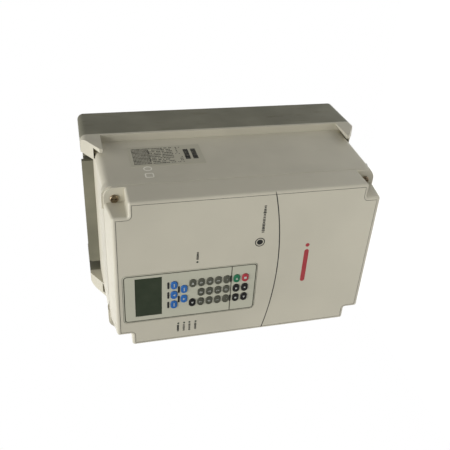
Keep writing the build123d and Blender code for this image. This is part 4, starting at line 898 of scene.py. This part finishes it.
class DRIVE_OT_stage(bpy.types.Operator):
    """Pale floor, soft studio lights and the camera"""
    bl_idname = "drive.stage"
    bl_label = "Stage"

    def execute(self, context):
        studio = context.scene.drive_studio
        scene = context.scene
        reach = studio.floor_width / 2
        top = -studio.hung
        floor = box_mesh("floor", [((-reach, -reach, top - FLOOR_THICK), (reach, reach, top))])
        ground = bpy.data.objects.new("floor", floor)
        # uncoated paper: a plain, pale ground with no reflection
        floor.materials.append(surface("matt_paper_floor", studio.floor, 0.9, grain=3, grain_up=0.02,
                                       drift=900, drift_by=0.01, dust=0.0, scuffs=0.0))
        scene.collection.objects.link(ground)
        self.sky(scene, studio)
        self.light("key_light", studio.key_from, studio.key_power, KEY_SPREAD)
        self.light("rim_light", studio.rim_from, studio.rim_power, RIM_SPREAD)
        self.light("back_light", studio.back_from, studio.back_power, BACK_SPREAD)
        camera = bpy.data.cameras.new("camera")
        camera.lens = studio.lens
        camera.sensor_width = SENSOR_WIDTH
        camera.clip_end = FAR_CLIP
        right = Vector(studio.right).normalized()
        forward = Vector(studio.forward).normalized()
        up = right.cross(forward)
        eye = bpy.data.objects.new("camera", camera)
        turn = Matrix((right, up, -forward)).transposed().to_4x4()
        eye.matrix_world = Matrix.Translation(studio.eye) @ turn
        scene.collection.objects.link(eye)
        scene.camera = eye
        scene.view_settings.view_transform = "Standard"
        return {"FINISHED"}

    def sky(self, scene, studio):
        """White to look at, and a dimmer even light on the drive."""
        world = bpy.data.worlds.new("studio")
        world.use_nodes = True
        tree = world.node_tree
        tree.nodes.clear()
        seen = put(tree, "ShaderNodeLightPath").outputs["Is Camera Ray"]
        strength = put(tree, "ShaderNodeMapRange", {"Value": seen, "To Min": studio.ambient, "To Max": 1.0})
        glow = put(tree, "ShaderNodeBackground", {"Color": (1, 1, 1, 1),
                                                  "Strength": strength.outputs["Result"]})
        put(tree, "ShaderNodeOutputWorld", {"Surface": glow.outputs["Background"]})
        scene.world = world

    def light(self, name, side, power, spread):
        """Very soft light from far off, from the side that the vector points to."""
        lamp = bpy.data.lights.new(name, "SUN")
        lamp.angle = radians(spread)
        lamp.energy = power
        stand = bpy.data.objects.new(name, lamp)
        stand.matrix_world = Vector(side).to_track_quat("Z", "Y").to_matrix().to_4x4()
        bpy.context.scene.collection.objects.link(stand)


class DRIVE_PT_panel(bpy.types.Panel):
    """Sizes, colours and steps of the drive"""
    bl_idname = "DRIVE_PT_panel"
    bl_label = "Drive"
    bl_space_type = "VIEW_3D"
    bl_region_type = "UI"
    bl_category = "Drive"

    def draw(self, context):
        for group in (context.scene.drive_sizes, context.scene.drive_colours, context.scene.drive_studio):
            for key in group.__annotations__:
                self.layout.prop(group, key)
        for step in STEPS:
            self.layout.operator(step.bl_idname)


STEPS = (DRIVE_OT_casings, DRIVE_OT_keypad, DRIVE_OT_inner_parts, DRIVE_OT_board_details,
         DRIVE_OT_key_legends, DRIVE_OT_panel_print, DRIVE_OT_cover_print, DRIVE_OT_label_print,
         DRIVE_OT_stage)
GROUPS = (DriveColours, DriveSizes, DriveStudio)


def register():
    """Add the settings, the steps and the panel to Blender."""
    for each in (*GROUPS, *STEPS, DRIVE_PT_panel):
        bpy.utils.register_class(each)
    bpy.types.Scene.drive_colours = PointerProperty(type=DriveColours)
    bpy.types.Scene.drive_sizes = PointerProperty(type=DriveSizes)
    bpy.types.Scene.drive_studio = PointerProperty(type=DriveStudio)


def unregister():
    """Take away what register added, in the opposite order."""
    del bpy.types.Scene.drive_studio
    del bpy.types.Scene.drive_sizes
    del bpy.types.Scene.drive_colours
    for each in reversed((*GROUPS, *STEPS, DRIVE_PT_panel)):
        bpy.utils.unregister_class(each)


def main():
    """Make the finishes and trees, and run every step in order."""
    register()
    FINISH.update(make_materials(bpy.context.scene.drive_colours))
    TREES.update(blocks=block_field_tree(), studs=stud_field_tree())
    for step in STEPS:
        area, name = step.bl_idname.split(".")
        getattr(getattr(bpy.ops, area), name)()


if __name__ == "__main__":
    main()
